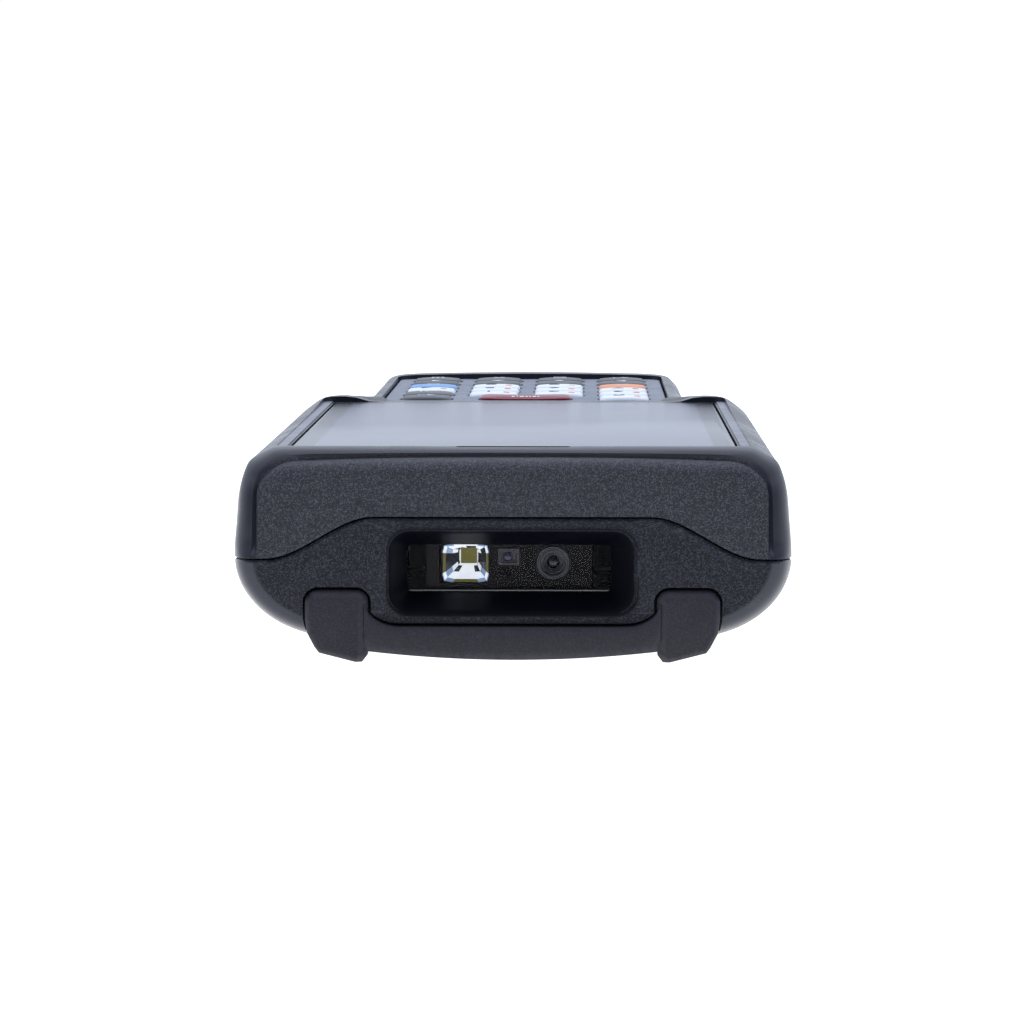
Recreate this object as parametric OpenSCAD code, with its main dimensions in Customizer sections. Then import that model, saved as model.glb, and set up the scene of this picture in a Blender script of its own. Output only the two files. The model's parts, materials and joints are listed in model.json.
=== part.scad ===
// Rugged handheld data terminal: touch display, keypad grip and an imager in the scan end.
// X is across, Y runs from the scan end (-Y) to the keypad end (+Y), Z is up out of the display.
// The origin is under the middle of the body, on the surface that it lies on.

/* [Display] */
// Width of the touch glass
glass_w = 62.9; // [58:0.1:78]
// Length of the touch glass
glass_l = 108.6; // [100:0.1:132]
// Thickness of the touch glass
glass_t = 1.1; // [0.8:0.1:1.5]
// Height of the glass above the surface that the device lies on
glass_z = 29.2; // [28.8:0.1:36]
// Black border between the glass's edge and the display module
glass_border = 2.6; // [2.2:0.1:5]
// Thickness of the display module
lcd_t = 3.6; // [2.8:0.1:3.8]

/* [Body] */
// Width of the head beside the glass, at its widest
bezel_w = 7.55; // [7.2:0.05:12]
// Length of the housing in front of the glass
lip_l = 8; // [7.8:0.1:11]
// Length of the bar between the glass and the keypad
bar_l = 4.6; // [3.5:0.1:8]
// Length of the housing behind the keypad
tail_l = 13.8; // [13.5:0.1:20]
// Width of the grip beside the keypad, at its widest
grip_rim_w = 5; // [4.6:0.1:8]
// Wall thickness of both housings
wall = 1.8; // [1.5:0.1:2.1]
// Height of the seam between the two housings
seam_z = 14.2; // [13.8:0.1:16]
// Height of the housing's underside
base_z = 2.6; // [2:0.1:3]
// Rise of the rim above the glass
rim_rise = 0.4; // [0.2:0.1:0.8]
// Open gap along the seam and round the glass and the panel
seam_gap = 0.25; // [0.1:0.05:0.4]

/* [Scan end] */
// Width of the scan mouth at the housing's face
mouth_w = 34.7; // [32:0.1:37]
// Height of the scan mouth at the housing's face
mouth_h = 11.9; // [11:0.1:12.4]
// Width of the clear opening at the bottom of the mouth
window_w = 28.6; // [26:0.1:30]
// Height of the clear opening at the bottom of the mouth
window_h = 6.7; // [6:0.1:8]
// Depth of the scan mouth
mouth_d = 6; // [5:0.1:7]
// Thickness of the scan window
window_t = 1.2; // [0.8:0.1:1.6]
// Width of one rubber claw
claw_w = 8.8; // [8:0.1:10]
// Height of the claws
claw_h = 10.1; // [9:0.1:10.5]
// Distance from the middle to a claw's inner side
claw_x = 20; // [19.5:0.1:21]

/* [Keypad] */
// Width of one key
key_w = 8.4; // [7:0.1:9]
// Length of one key
key_l = 7.6; // [6.4:0.1:9.2]
// Width of the scan key
scan_key_w = 15.4; // [14:0.1:17]
// Pitch of the key columns
col_pitch = 11.2; // [11:0.1:13.4]
// Pitch of the key rows
row_pitch = 10.9; // [10.6:0.1:13.1]
// Height of a key above the panel
key_rise = 0.7; // [0.4:0.1:1]
// Travel of a key
key_travel = 0.55; // [0.3:0.05:0.6]
// Gap round a key in the panel
key_gap = 0.25; // [0.15:0.05:0.4]
// Plain panel beside the outer keys
panel_margin = 3; // [2.8:0.1:4]

/* [Battery] */
// Width of the battery pack
battery_w = 34; // [28:0.1:35]
// Length of the battery pack
battery_l = 54; // [45:0.1:55]
// Height of the battery pack
battery_h = 9.2; // [7:0.1:9.6]
// Slide of the battery door that frees it
door_travel = 5; // [3:0.1:6]
// Gap round the battery and the door
door_gap = 0.3; // [0.2:0.05:0.5]

/* [Side controls] */
// Length of a side trigger
trigger_l = 24; // [18:0.1:26]
// Height of a side trigger
trigger_h = 5; // [4:0.1:5.2]
// Travel of a side trigger
trigger_travel = 0.5; // [0.3:0.05:0.5]
// Length of the volume rocker
rocker_l = 20; // [16:0.1:22]

/* [Hidden] */
$fn = 48;
eps = 0.01;
rows = 6;
cols = 4;

// Every key: its name, its column and its row, counted from the display, and its cap's colour.
KEYS = [
    ["key_back", 0, 0, "dimgray"], ["key_0", 3, 0, "white"],
    ["key_tab", 0, 1, "dimgray"], ["key_1", 1, 1, "white"], ["key_2", 2, 1, "white"],
        ["key_3", 3, 1, "white"],
    ["key_4", 0, 2, "white"], ["key_5", 1, 2, "white"], ["key_6", 2, 2, "white"],
        ["key_7", 3, 2, "white"],
    ["key_blue", 0, 3, "steelblue"], ["key_8", 1, 3, "white"], ["key_9", 2, 3, "white"],
    ["key_orange", 3, 3, "coral"],
    ["key_left", 0, 4, "dimgray"], ["key_up", 1, 4, "dimgray"], ["key_down", 2, 4, "dimgray"],
    ["key_right", 3, 4, "dimgray"],
    ["key_power", 0, 5, "dimgray"], ["key_clear", 1, 5, "dimgray"], ["key_menu", 2, 5, "dimgray"],
    ["key_enter", 3, 5, "dimgray"]
];

// Lengths along the body, measured as s from the scan end.
panel_w = (cols - 1) * col_pitch + key_w + 2 * panel_margin;
panel_l = (rows - 1) * row_pitch + key_l + 2 * (panel_margin + 0.95);
glass_s = lip_l;
glass_end = glass_s + glass_l;
panel_s = glass_end + bar_l;
panel_end = panel_s + panel_l;
body_l = panel_end + tail_l;
head_w = glass_w + 2 * bezel_w;
grip_w = panel_w + 2 * grip_rim_w;
row_1_s = panel_s + panel_margin + 0.95 + key_l / 2;

// Heights of the layers under the display and the keypad, from the glass downwards.
rim_z = glass_z + rim_rise;
ledge_top = glass_z - glass_t - 0.4;
ceiling_z = glass_z - 2.6;
lcd_bottom = glass_z - glass_t - lcd_t;
frame_t = 1.3;
frame_z = glass_z - 6.2;
frame_top = frame_z + frame_t;
board_t = 1.6;
board_z = frame_z - 3;
panel_t = 1.2;
panel_top = glass_z - 0.2;
panel_z = panel_top - panel_t;
key_board_t = 1;
key_board_top = frame_top + key_board_t;
dome_t = 0.4;
mat_t = 0.6;
mat_top = panel_z - 1.3;
flange_t = 0.5;
flange_top = panel_z - 0.1;
stem_bottom = key_board_top + dome_t + key_travel + 0.1;

// Outline of the cross-sections.
mid_z = seam_z + 0.3;
side_draft = 0.5;
upper_z = glass_z - 8.7;
upper_rz = 10;
head_upper_rx = 5.1;
grip_upper_rx = 4;
head_lower_rx = 15;
grip_lower_rx = 8;
rim_inset = 2;
head_rim_x = glass_w / 2 + rim_inset;
grip_rim_x = grip_w / 2 - 3.4;
front_r = 8;
front_lower_r = 5.5;
shoulder_r = 2.7;
shoulder_s = 4;
far_upper_r = 4;
far_lower_r = 8;
end_l = 20;
neck_s = glass_end - 16;
neck_l = 25;

// The hump of the seam over the scan mouth.
hump_z = seam_z + 5.8;
hump_in = mouth_w / 2 + 2;
hump_out = hump_in + 15;
hump_d = 9;

// The scan mouth, its window and the engine behind it.
mouth_z = 12.45;
window_z = 12.55;
window_x = -0.58;
gasket_t = 0.4;
pane_lip = 0.9;
pane_gap = 0.1;
pane_s = mouth_d + gasket_t;
tunnel_s = pane_s + window_t + 0.2;
tunnel_x = mouth_w / 2 + 2.1;
backing_s = 5.4;
engine_s = tunnel_s + 0.6;
engine_l = 11;
engine_w = 23.7;
engine_z = 8.4;
engine_h = 9;
lens_x = -7;
lens_w = 6.6;
lens_h = 5.45;
lens_z = 12.92;
aimer_x = -0.63;
aimer_w = 3.2;
aimer_h = 2.5;
aimer_z = 13.95;
imager_x = 5.6;
imager_z = 13.1;
imager_r = 2.4;

// The bumper.
claw_d = 2.6;
claw_r = 1.8;
claw_gap = 0.35;
runner_l = 16;
arc_top = 5;
arc_low = 0.3;
arc_l = 12;

// Screws and their posts.
post_inset = 6;
post_r = 2.6;
socket_r = 3;
screw_r = 0.9;
screw_head_r = 1.9;
head_gap = 0.3;
screw_seat = 8.3;
post_z = seam_z + 0.9;
grip_post_x = grip_w / 2 - 9;
foot_w = 26;
foot_l = 8;
foot_sink = 0.6;
foot_s = body_l - 16;
SCREWS = [
    [head_w / 2 - post_inset, 24], [-head_w / 2 + post_inset, 24],
    [head_w / 2 - post_inset, glass_end - 17], [-head_w / 2 + post_inset, glass_end - 17],
    [grip_post_x, body_l - 8.6], [-grip_post_x, body_l - 8.6]
];

// The battery, its door and the contacts.
door_t = 1.6;
door_ledge = 2;
door_w = battery_w + 2 * door_ledge + 1;
door_l = battery_l + 6;
door_end = foot_s - 1.5 - door_travel;
door_s = door_end - door_l;
battery_z = base_z + door_t + 0.3;
battery_s = door_end - 2.5 - battery_l;
tab_l = 5;
tab_w = 1;
tab_z = base_z + 0.7;
bay_t = 1.2;
contact_l = 2;

// Side controls.
side_z = seam_z + 5;
trigger_s = 74;
rocker_s = 44;
side_gap = 0.3;
side_flange_t = 0.6;
rocker_rib_r = 1;
side_x = head_w / 2;
wall_x = side_x - side_draft - wall;
flange_x = wall_x - 0.3 - side_flange_t;

// The port and its cover.
port_w = 9.2;
port_h = 3.4;
port_z = 9;
cover_w = 16;
cover_t = 1.5;
cover_top = seam_z - 1.9;
cover_bottom = cover_top - 7.4;
cover_s = body_l - 3;
hinge_r = 0.9;
hinge_pin_r = 0.6;
hinge_gap = 0.05;

// Inserts, sound and small pieces.
insert_x = 15;
insert_s = 92;
insert_r = 2.3;
insert_bore_r = 1.25;
insert_l = 5;
speaker_s = 62;
speaker_w = 20;
speaker_l = 14;
ear_slot_w = 16;
ear_slot_l = 1.1;
ear_slot_s = glass_s - 1.1;

// ---- helpers ----

function along(s) = s - body_l / 2;

function arc(c, r, a0, a1, n = 6) =
    [for (i = [0 : n]) let (a = a0 + (a1 - a0) * i / n) [c[0] + r[0] * cos(a), c[1] + r[1] * sin(a)]];

function smooth(t) = t * t * (3 - 2 * t);

function both_sides(half) =
    concat(half, [for (i = [len(half) - 1 : -1 : 0]) if (half[i][0] > eps) [-half[i][0], half[i][1]]]);

// Cross-section of the head or the grip, drawn inwards by d.
function section(half_w, lower_rx, upper_rx, rim_x, d) = both_sides(concat(
    arc([half_w - lower_rx, mid_z], [lower_rx - d, mid_z - base_z - d], -90, 0, 8),
    arc([half_w - side_draft - upper_rx, upper_z], [upper_rx - d, upper_rz - d], 0, 47, 4),
    [[rim_x, rim_z]]
));

function head_section(d) = section(head_w / 2, head_lower_rx, head_upper_rx, head_rim_x, d);
function grip_section(d) = section(grip_w / 2, grip_lower_rx, grip_upper_rx, grip_rim_x, d);

// Outline from above, drawn inwards by d: round front corners, a neck and a bowed far end.
function outline(d) = both_sides(concat(
    arc([head_w / 2 - front_r, along(front_r)], [front_r - d, front_r - d], -90, 0, 5),
    [for (i = [0 : 8]) let (t = i / 8)
        [head_w / 2 - (head_w - grip_w) / 2 * smooth(t) - d, along(neck_s + neck_l * t)]],
    [for (i = [0 : 9]) let (a = 10 * i)
        [(grip_w / 2 - d) * pow(max(cos(a), 0), 2 / 3),
            along(body_l - end_l) + (end_l - d) * pow(sin(a), 2 / 3)]]
));

// Outline from the side, drawn inwards by d.
function profile(d) = concat(
    arc([along(front_lower_r), seam_z], [front_lower_r - d, seam_z - base_z - d], -90, -180, 6),
    arc([along(shoulder_s), glass_z - 3.6], [shoulder_r - d, shoulder_r - d], 180, 90, 4),
    [[along(shoulder_s + 0.7), glass_z - 0.9], [along(shoulder_s + 1.4), rim_z]],
    arc([along(body_l - far_upper_r), glass_z - 4.6], [far_upper_r - d, far_upper_r + 1 - d], 90, 0, 4),
    arc([along(body_l - far_lower_r), seam_z], [far_lower_r - d, seam_z - base_z - d], 0, -90, 6)
);

function seam_curve(rise) = both_sides(concat(
    [[head_w, -1], [head_w, seam_z + rise]],
    [for (i = [0 : 8]) let (t = i / 8)
        [hump_out - (hump_out - hump_in) * t, seam_z + rise + (hump_z - seam_z) * smooth(t)]]
));

module prism_z(points, z0, z1) {
    translate([0, 0, z0]) linear_extrude(height = z1 - z0) polygon(points);
}

module prism_y(points, s0, s1) {
    translate([0, along(s1), 0]) rotate([90, 0, 0]) linear_extrude(height = s1 - s0) polygon(points);
}

module prism_x(points, x0, x1) {
    translate([x0, 0, 0]) rotate([90, 0, 90]) linear_extrude(height = x1 - x0) polygon(points);
}

// Box between two corners, each given as x, s and z.
module block(a, b) {
    translate([a[0], along(a[1]), a[2]]) cube([b[0] - a[0], b[1] - a[1], b[2] - a[2]]);
}

// Flat plate with round corners, its middle at x and s.
module plate(x, s, w, l, r, z0, z1) {
    translate([x, along(s), z0]) linear_extrude(height = z1 - z0) rounded(w, l, r);
}

// Upright plate that faces along Y, its middle at x and z.
module upright(x, z, w, h, r, s0, s1) {
    translate([x, along(s1), z]) rotate([90, 0, 0]) linear_extrude(height = s1 - s0) rounded(w, h, r);
}

// Upright plate that faces along X, its middle at s and z.
module sideways(s, z, l, h, r, x0, x1) {
    translate([x0, along(s), z]) rotate([90, 0, 90]) linear_extrude(height = x1 - x0) rounded(l, h, r);
}

module rounded(w, l, r) {
    square([w - 2 * r, l], center = true);
    square([w, l - 2 * r], center = true);
    for (x = [-1, 1], y = [-1, 1])
        translate([x * (w / 2 - r), y * (l / 2 - r)]) circle(r);
}

module post(x, s, r, z0, z1) {
    translate([x, along(s), z0]) cylinder(r = r, h = z1 - z0);
}

module barrel_y(x, z, r, s0, s1) {
    translate([x, along(s0), z]) rotate([-90, 0, 0]) cylinder(r = r, h = s1 - s0);
}

module barrel_x(s, z, r, x0, x1) {
    translate([x0, along(s), z]) rotate([0, 90, 0]) cylinder(r = r, h = x1 - x0);
}

// ---- shared shapes ----

// The whole body as one solid, drawn inwards by d.
module envelope(d) {
    intersection() {
        union() {
            prism_y(head_section(d), -1, neck_s + neck_l);
            prism_y(grip_section(d), neck_s, body_l + 1);
        }
        prism_z(outline(d), -1, rim_z + 1);
        prism_x(profile(d), -head_w, head_w);
    }
}

// Everything inside the walls, up to the underside of the top plate.
module cavity() {
    intersection() {
        envelope(wall);
        block([-head_w, 0, 0], [head_w, body_l, ceiling_z]);
    }
}

// Everything below the seam, which rises over the scan mouth.
module below_seam(rise) {
    prism_y(seam_curve(rise), -1, hump_d);
    block([-head_w, hump_d - 1, -1], [head_w, body_l + 1, seam_z + rise]);
}

// Straight funnel between the mouth at the face and the window.
module mouth() {
    intersection() {
        prism_z([
            [-mouth_w / 2, along(0)], [mouth_w / 2, along(0)],
            [window_x + window_w / 2, along(mouth_d)], [window_x - window_w / 2, along(mouth_d)]
        ], 0, rim_z);
        prism_x([
            [along(0), mouth_z - mouth_h / 2], [along(mouth_d), window_z - window_h / 2],
            [along(mouth_d), window_z + window_h / 2], [along(0), mouth_z + mouth_h / 2]
        ], -head_w / 2, head_w / 2);
    }
}

// Face of one claw, grown by g: round top corners and a slanting tread.
function claw_face(g) = concat(
    [[claw_x + 0.2 - g, 0.9 - g], [claw_x + 1, -g], [claw_x + 1.8, -g],
        [claw_x + claw_w - 1.4 + g, 1.7 - g],
        [claw_x + claw_w + g, 4]],
    arc([claw_x + claw_w - claw_r, claw_h - claw_r], [claw_r + g, claw_r + g], 0, 90, 5),
    arc([claw_x + claw_r, claw_h - claw_r], [claw_r + g, claw_r + g], 90, 180, 5)
);

// Face of the arc lip between the claws, grown by g.
function arc_face(g) = both_sides([
    for (p = concat(
        [for (i = [0 : 5]) [4.1 * i, arc_low + 1.2 * pow(i / 5, 2) - g]],
        [[claw_x + 1, 1.5 - g], [claw_x + 1, claw_h - 1.2 + g]],
        [for (i = [0 : 4]) let (t = i / 4) [claw_x + 0.6 - 4.1 * t,
            claw_h - 1.4 + g - (claw_h - 1.4 - arc_top) * smooth(t)]]
    )) p
]);

// The bumper's solid, or with g its pocket in the housing.
module bumper_solid(g) {
    for (side = [0, 1]) mirror([side, 0, 0]) {
        prism_y(claw_face(g), -g * 4, claw_d);
        intersection() {
            prism_y(claw_face(g), 0, runner_l + g);
            block([0, 0, -1], [head_w, runner_l + g, base_z + foot_sink]);
        }
    }
    prism_y(arc_face(g), 0.3 - g * 5, claw_d);
    block([-claw_x - 1, 1, arc_low + 1.2], [claw_x + 1, arc_l + g, base_z + foot_sink]);
}

// ---- housings ----

module front_housing() color([0.22, 0.23, 0.27]) {
    difference() {
        union() {
            difference() {
                envelope(0);
                cavity();
            }
            intersection() {
                envelope(0);
                for (p = SCREWS) post(p[0], p[1], post_r, post_z + 0.1, ceiling_z + eps);
            }
        }
        below_seam(seam_gap);
        plate(0, glass_s + glass_l / 2, glass_w + 2 * seam_gap, glass_l + 2 * seam_gap, 3, ledge_top,
            rim_z + 1);
        plate(0, glass_s + glass_l / 2, glass_w - 2 * glass_border + 0.8,
            glass_l - 2 * glass_border + 0.8, 1,
            min(ceiling_z - 1, lcd_bottom - 0.2), rim_z);
        plate(0, (panel_s + panel_end) / 2, panel_w + 2 * seam_gap, panel_l + 2 * seam_gap, 4, panel_z,
            rim_z + 1);
        plate(0, (panel_s + panel_end) / 2, panel_w - 3, panel_l - 3, 3, ceiling_z - 1, rim_z);
        plate(0, ear_slot_s, ear_slot_w, ear_slot_l, 0.5, ceiling_z - 1, rim_z + 1);
        for (p = SCREWS) post(p[0], p[1], screw_r, post_z - 1, ceiling_z - 3);
        sideways(trigger_s, side_z, trigger_l + 2 * side_gap, trigger_h + 2 * side_gap, 2.2,
            wall_x - 2, side_x + 1);
        sideways(trigger_s, side_z, trigger_l + 2 * side_gap, trigger_h + 2 * side_gap, 2.2,
            -side_x - 1, 2 - wall_x);
        sideways(rocker_s, side_z, rocker_l + 2 * side_gap, trigger_h + 2 * side_gap, 2.2, -side_x - 1,
            2 - wall_x);
    }
}

module rear_housing() color([0.19, 0.2, 0.24]) {
    difference() {
        union() {
            intersection() {
                difference() {
                    envelope(0);
                    cavity();
                }
                below_seam(0);
            }
            intersection() {
                envelope(0);
                below_seam(0);
                rear_blocks();
            }
        }
        mouth();
        upright(window_x, window_z, window_w + 2 * (pane_lip + pane_gap),
            window_h + 2 * (pane_lip + pane_gap), 0.8,
            mouth_d, tunnel_s + 1);
        block([window_x - window_w / 2, mouth_d - 1, window_z - window_h / 2],
            [window_x + window_w / 2, mouth_d + 1, window_z + window_h / 2]);
        bumper_solid(claw_gap);
        plate(0, foot_s + foot_l / 2, foot_w, foot_l, 3, -1, base_z + foot_sink);
        door_cuts();
        for (p = SCREWS) {
            post(p[0], p[1], screw_head_r + head_gap, -1, screw_seat);
            post(p[0], p[1], screw_r + 0.3, 0, post_z + 1);
        }
        for (x = [-insert_x, insert_x]) post(x, insert_s, insert_r, -1, base_z + insert_l + 0.5);
        for (i = [-2 : 2]) plate(3.2 * i, speaker_s, 1.2, 9, 0.5, -1, base_z + wall + 1);
        port_cuts();
    }
}

// Thick places inside the rear housing: round the mouth, behind the claws, posts, bay walls and bosses.
module rear_blocks() {
    block([-tunnel_x, 0, base_z], [tunnel_x, tunnel_s, hump_z]);
    block([-claw_x - claw_w - 2.5, 0, base_z], [claw_x + claw_w + 2.5, backing_s, claw_h + 2.5]);
    for (p = SCREWS) post(p[0], p[1], socket_r, base_z, post_z);
    difference() {
        block([-battery_w / 2 - door_gap - bay_t, door_s, base_z],
            [battery_w / 2 + door_gap + bay_t, door_end + bay_t, battery_z + battery_h]);
        block([-battery_w / 2 - door_gap, door_s + bay_t, 0],
            [battery_w / 2 + door_gap, door_end, rim_z]);
    }
    block([-door_w / 2 - tab_w - 2, door_s - 2, base_z],
        [door_w / 2 + tab_w + 2, foot_s + foot_l + 2, base_z + door_t + bay_t + 0.2]);
    for (x = [-insert_x, insert_x]) post(x, insert_s, insert_r + 1.2, base_z, base_z + insert_l + 1.7);
    block([-cover_w / 2 - 2.5, cover_s - 4, base_z], [cover_w / 2 + 2.5, body_l, seam_z]);
    for (x = [-1, 1]) block([x * (speaker_w / 2 + 0.9) - 0.6, speaker_s - speaker_l / 2, base_z],
        [x * (speaker_w / 2 + 0.9) + 0.6, speaker_s + speaker_l / 2, base_z + 6]);
}

// The door's recess, the hole that the battery goes through and the slots for the door's tabs.
module door_cuts() {
    block([-door_w / 2 - door_gap, door_s - door_gap, -1],
        [door_w / 2 + door_gap, door_end + door_travel + door_gap, base_z + door_t + 0.1]);
    block([-battery_w / 2 - door_gap, door_s + bay_t, -1],
        [battery_w / 2 + door_gap, door_end, battery_z + battery_h - 1]);
    for (side = [0, 1], s = tab_places()) mirror([side, 0, 0]) {
        block([0, s - door_gap, tab_z - 0.1],
            [door_w / 2 + tab_w + door_gap, s + tab_l + door_travel + door_gap, base_z + door_t + 0.1]);
        block([0, s + door_travel - door_gap, -1],
            [door_w / 2 + tab_w + door_gap, s + tab_l + door_travel + door_gap, tab_z]);
    }
}

function tab_places() = [door_s + 4, door_end - door_travel - tab_l - 8];

// The cover's recess, its hinge holes and the way in to the port.
module port_cuts() {
    block([-cover_w / 2 - door_gap, cover_s - 0.2, cover_bottom - 0.6],
        [cover_w / 2 + door_gap, body_l + 1, cover_top + hinge_r + 0.15]);
    block([-cover_w / 2 - door_gap, cover_s - 0.7, cover_top - hinge_r - 0.4],
        [cover_w / 2 + door_gap, body_l + 1, cover_top + hinge_r + 0.15]);
    barrel_x(cover_s + hinge_r, cover_top, hinge_pin_r + hinge_gap, -cover_w / 2 - 1.6,
        cover_w / 2 + 1.6);
    upright(0, port_z, port_w, port_h, port_h / 2 - 0.05, cover_s - 6, body_l);
    block([-port_w / 2 - 0.1, cover_s - 9, port_z - port_h / 2 - 0.3],
        [port_w / 2 + 0.1, cover_s - 1.2, port_z + port_h / 2 + 0.3]);
}

module housing_seal() color([0.1, 0.1, 0.1]) {
    intersection() {
        cavity();
        difference() {
            union() {
                difference() {
                    prism_y(seam_curve(seam_gap + 1), 0, hump_d);
                    prism_y(seam_curve(seam_gap), -1, hump_d + 1);
                }
                block([-head_w, hump_d - 1, seam_z + seam_gap], [head_w, body_l, seam_z + seam_gap + 1]);
            }
            prism_z(outline(wall + 1.3), 0, rim_z);
            for (p = SCREWS) post(p[0], p[1], post_r + 0.1, seam_z, rim_z);
        }
    }
}

module bumper() color([0.2, 0.2, 0.23]) bumper_solid(0);

module grip_foot() color([0.2, 0.2, 0.23])
    plate(0, foot_s + foot_l / 2, foot_w, foot_l, 3, 0, base_z + foot_sink);

module battery_door() color([0.21, 0.22, 0.26]) {
    difference() {
        block([-door_w / 2, door_s, base_z], [door_w / 2, door_end, base_z + door_t]);
        for (i = [0 : 4])
            block([-8, door_end - 6 - 2.4 * i, base_z - 1], [8, door_end - 4.8 - 2.4 * i, base_z + 0.4]);
    }
    for (side = [0, 1], s = tab_places()) mirror([side, 0, 0])
        block([door_w / 2 - 1, s, tab_z], [door_w / 2 + tab_w, s + tab_l, base_z + door_t]);
}

module port_cover() color([0.17, 0.17, 0.19]) {
    block([-cover_w / 2, cover_s, cover_bottom], [cover_w / 2, cover_s + cover_t, cover_top]);
    barrel_x(cover_s + hinge_r, cover_top, hinge_r, -cover_w / 2, cover_w / 2);
    barrel_x(cover_s + hinge_r, cover_top, hinge_pin_r, -cover_w / 2 - 1.3, cover_w / 2 + 1.3);
}

// ---- display ----

module touch_glass() color([0.62, 0.65, 0.72])
    plate(0, glass_s + glass_l / 2, glass_w, glass_l, 3 - seam_gap, glass_z - glass_t, glass_z);

module display_seal() color([0.08, 0.08, 0.08]) {
    difference() {
        plate(0, glass_s + glass_l / 2, glass_w - 0.4, glass_l - 0.4, 2.5, ledge_top, glass_z - glass_t);
        plate(0, glass_s + glass_l / 2, glass_w - 2 * glass_border + 0.8,
            glass_l - 2 * glass_border + 0.8, 1,
            ledge_top - 1, glass_z);
    }
}

module lcd_module() color([0.3, 0.32, 0.36])
    block([-glass_w / 2 + glass_border, glass_s + glass_border, lcd_bottom],
        [glass_w / 2 - glass_border, glass_end - glass_border, glass_z - glass_t]);

// ---- frame and boards ----

module mid_frame() color("silver") {
    difference() {
        intersection() {
            envelope(wall + 0.5);
            union() {
                block([-flange_x + 1.5, engine_s, frame_z], [flange_x - 1.5, glass_end, frame_top]);
                block([-panel_w / 2 + 1.6, glass_end - 1, frame_z],
                    [panel_w / 2 - 1.6, body_l - 4, frame_top]);
            }
        }
        for (p = SCREWS) post(p[0], p[1], post_r + 0.3, frame_z - 1, frame_top + 1);
        block([-12, 40, frame_z - 1], [12, 58, frame_top + 1]);
        for (s = [70, 88]) plate(0, s, 36, 12, 2, frame_z - 1, frame_top + 1);
    }
    for (x = [-26, 26], s = [28, glass_end - 8]) post(x, s, 2, board_z + board_t, frame_z);
}

module main_board() color("darkgreen") {
    difference() {
        block([-29.5, engine_s + engine_l + 3, board_z], [29.5, glass_end - 3, board_z + board_t]);
        plate(0, glass_end - 2, 22, 16, 2, board_z - 1, board_z + board_t + 1);
    }
}

module board_shields() color("gainsboro") {
    plate(-13, 42, 24, 20, 1, board_z - 2.2, board_z);
    plate(14, 42, 20, 26, 1, board_z - 1.8, board_z);
    plate(-12, 78, 26, 22, 1, board_z - 2, board_z);
    plate(15, 74, 14, 14, 0.5, board_z - 1.4, board_z);
    plate(12, 100, 22, 5, 0.5, board_z - 2.4, board_z);
}

module side_switches() color("goldenrod") {
    for (side = [0, 1]) mirror([side, 0, 0]) {
        block([flange_x - 2.6, 31, side_z - 2.8], [flange_x - 1.8, 91, side_z + 2.8]);
        block([flange_x - 1.8, trigger_s - 3, side_z - 1.8],
            [flange_x - trigger_travel - 0.1, trigger_s + 3, side_z + 1.8]);
    }
    for (s = [rocker_s - 6, rocker_s + 6])
        block([-flange_x + trigger_travel + 0.1, s - 2, side_z - 1.8],
            [-flange_x + 1.8, s + 2, side_z + 1.8]);
    block([-flange_x + rocker_rib_r + 0.1, rocker_s - 1, side_z - 1.8],
        [-flange_x + 1.8, rocker_s + 1, side_z + 1.8]);
}

// ---- keypad ----

function key_x(k) = (k[1] - (cols - 1) / 2) * col_pitch;
function key_s(k) = row_1_s + k[2] * row_pitch;
scan_key = ["key_scan", (cols - 1) / 2, 0];
stem_r = 1.3;

module keypad_panel() color([0.36, 0.38, 0.44]) {
    difference() {
        plate(0, (panel_s + panel_end) / 2, panel_w, panel_l, 4 - seam_gap, panel_z, panel_top);
        for (k = KEYS) plate(key_x(k), key_s(k), key_w + 2 * key_gap, key_l + 2 * key_gap, 1.6 + key_gap,
            panel_z - 1, panel_top + 1);
        plate(0, key_s(scan_key), scan_key_w + 2 * key_gap, key_l + 2 * key_gap, 1.6 + key_gap,
            panel_z - 1, panel_top + 1);
    }
}

module key_mat() color([0.3, 0.3, 0.32]) {
    difference() {
        plate(0, (panel_s + panel_end) / 2, panel_w - 4, panel_l - 4, 2.5, key_board_top, mat_top);
        plate(0, (panel_s + panel_end) / 2, panel_w - 6, panel_l - 6, 1.5, key_board_top - 1,
            mat_top - mat_t);
        for (k = concat(KEYS, [scan_key])) post(key_x(k), key_s(k), stem_r + 0.3, key_board_top,
            mat_top + 1);
    }
}

module keypad_board() color("darkgreen")
    plate(0, (panel_s + panel_end) / 2, panel_w - 3.4, panel_l - 3.4, 2.5, frame_top, key_board_top);

module key_domes() color("silver")
    for (k = concat(KEYS, [scan_key])) post(key_x(k), key_s(k), 2.4, key_board_top,
        key_board_top + dome_t);

// One key: a cap through the panel, a flange that holds it in and a stem that presses its dome.
module key_piece(x, s, w) {
    plate(x, s, w, key_l, 1.6, flange_top, panel_top + key_rise);
    plate(x, s, w + 1, key_l + 1, 2, flange_top - flange_t, flange_top);
    post(x, s, stem_r, stem_bottom, flange_top);
}

module key_scan() color("maroon") {
    difference() {
        key_piece(key_x(scan_key), key_s(scan_key), scan_key_w);
        translate([0, along(key_s(scan_key)), panel_top + key_rise + 19.4]) sphere(r = 20, $fn = 96);
    }
}

// ---- scan engine ----

module scan_window() color([0.1, 0.1, 0.13, 0.5])
    upright(window_x, window_z, window_w + 2 * pane_lip, window_h + 2 * pane_lip, 0.7, pane_s,
        pane_s + window_t);

module window_gasket() color([0.05, 0.05, 0.05]) {
    difference() {
        upright(window_x, window_z, window_w + 2 * pane_lip, window_h + 2 * pane_lip, 0.7, mouth_d,
            pane_s);
        upright(window_x, window_z, window_w + 0.2, window_h + 0.2, 0.3, mouth_d - 1, pane_s + 1);
    }
}

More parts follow.
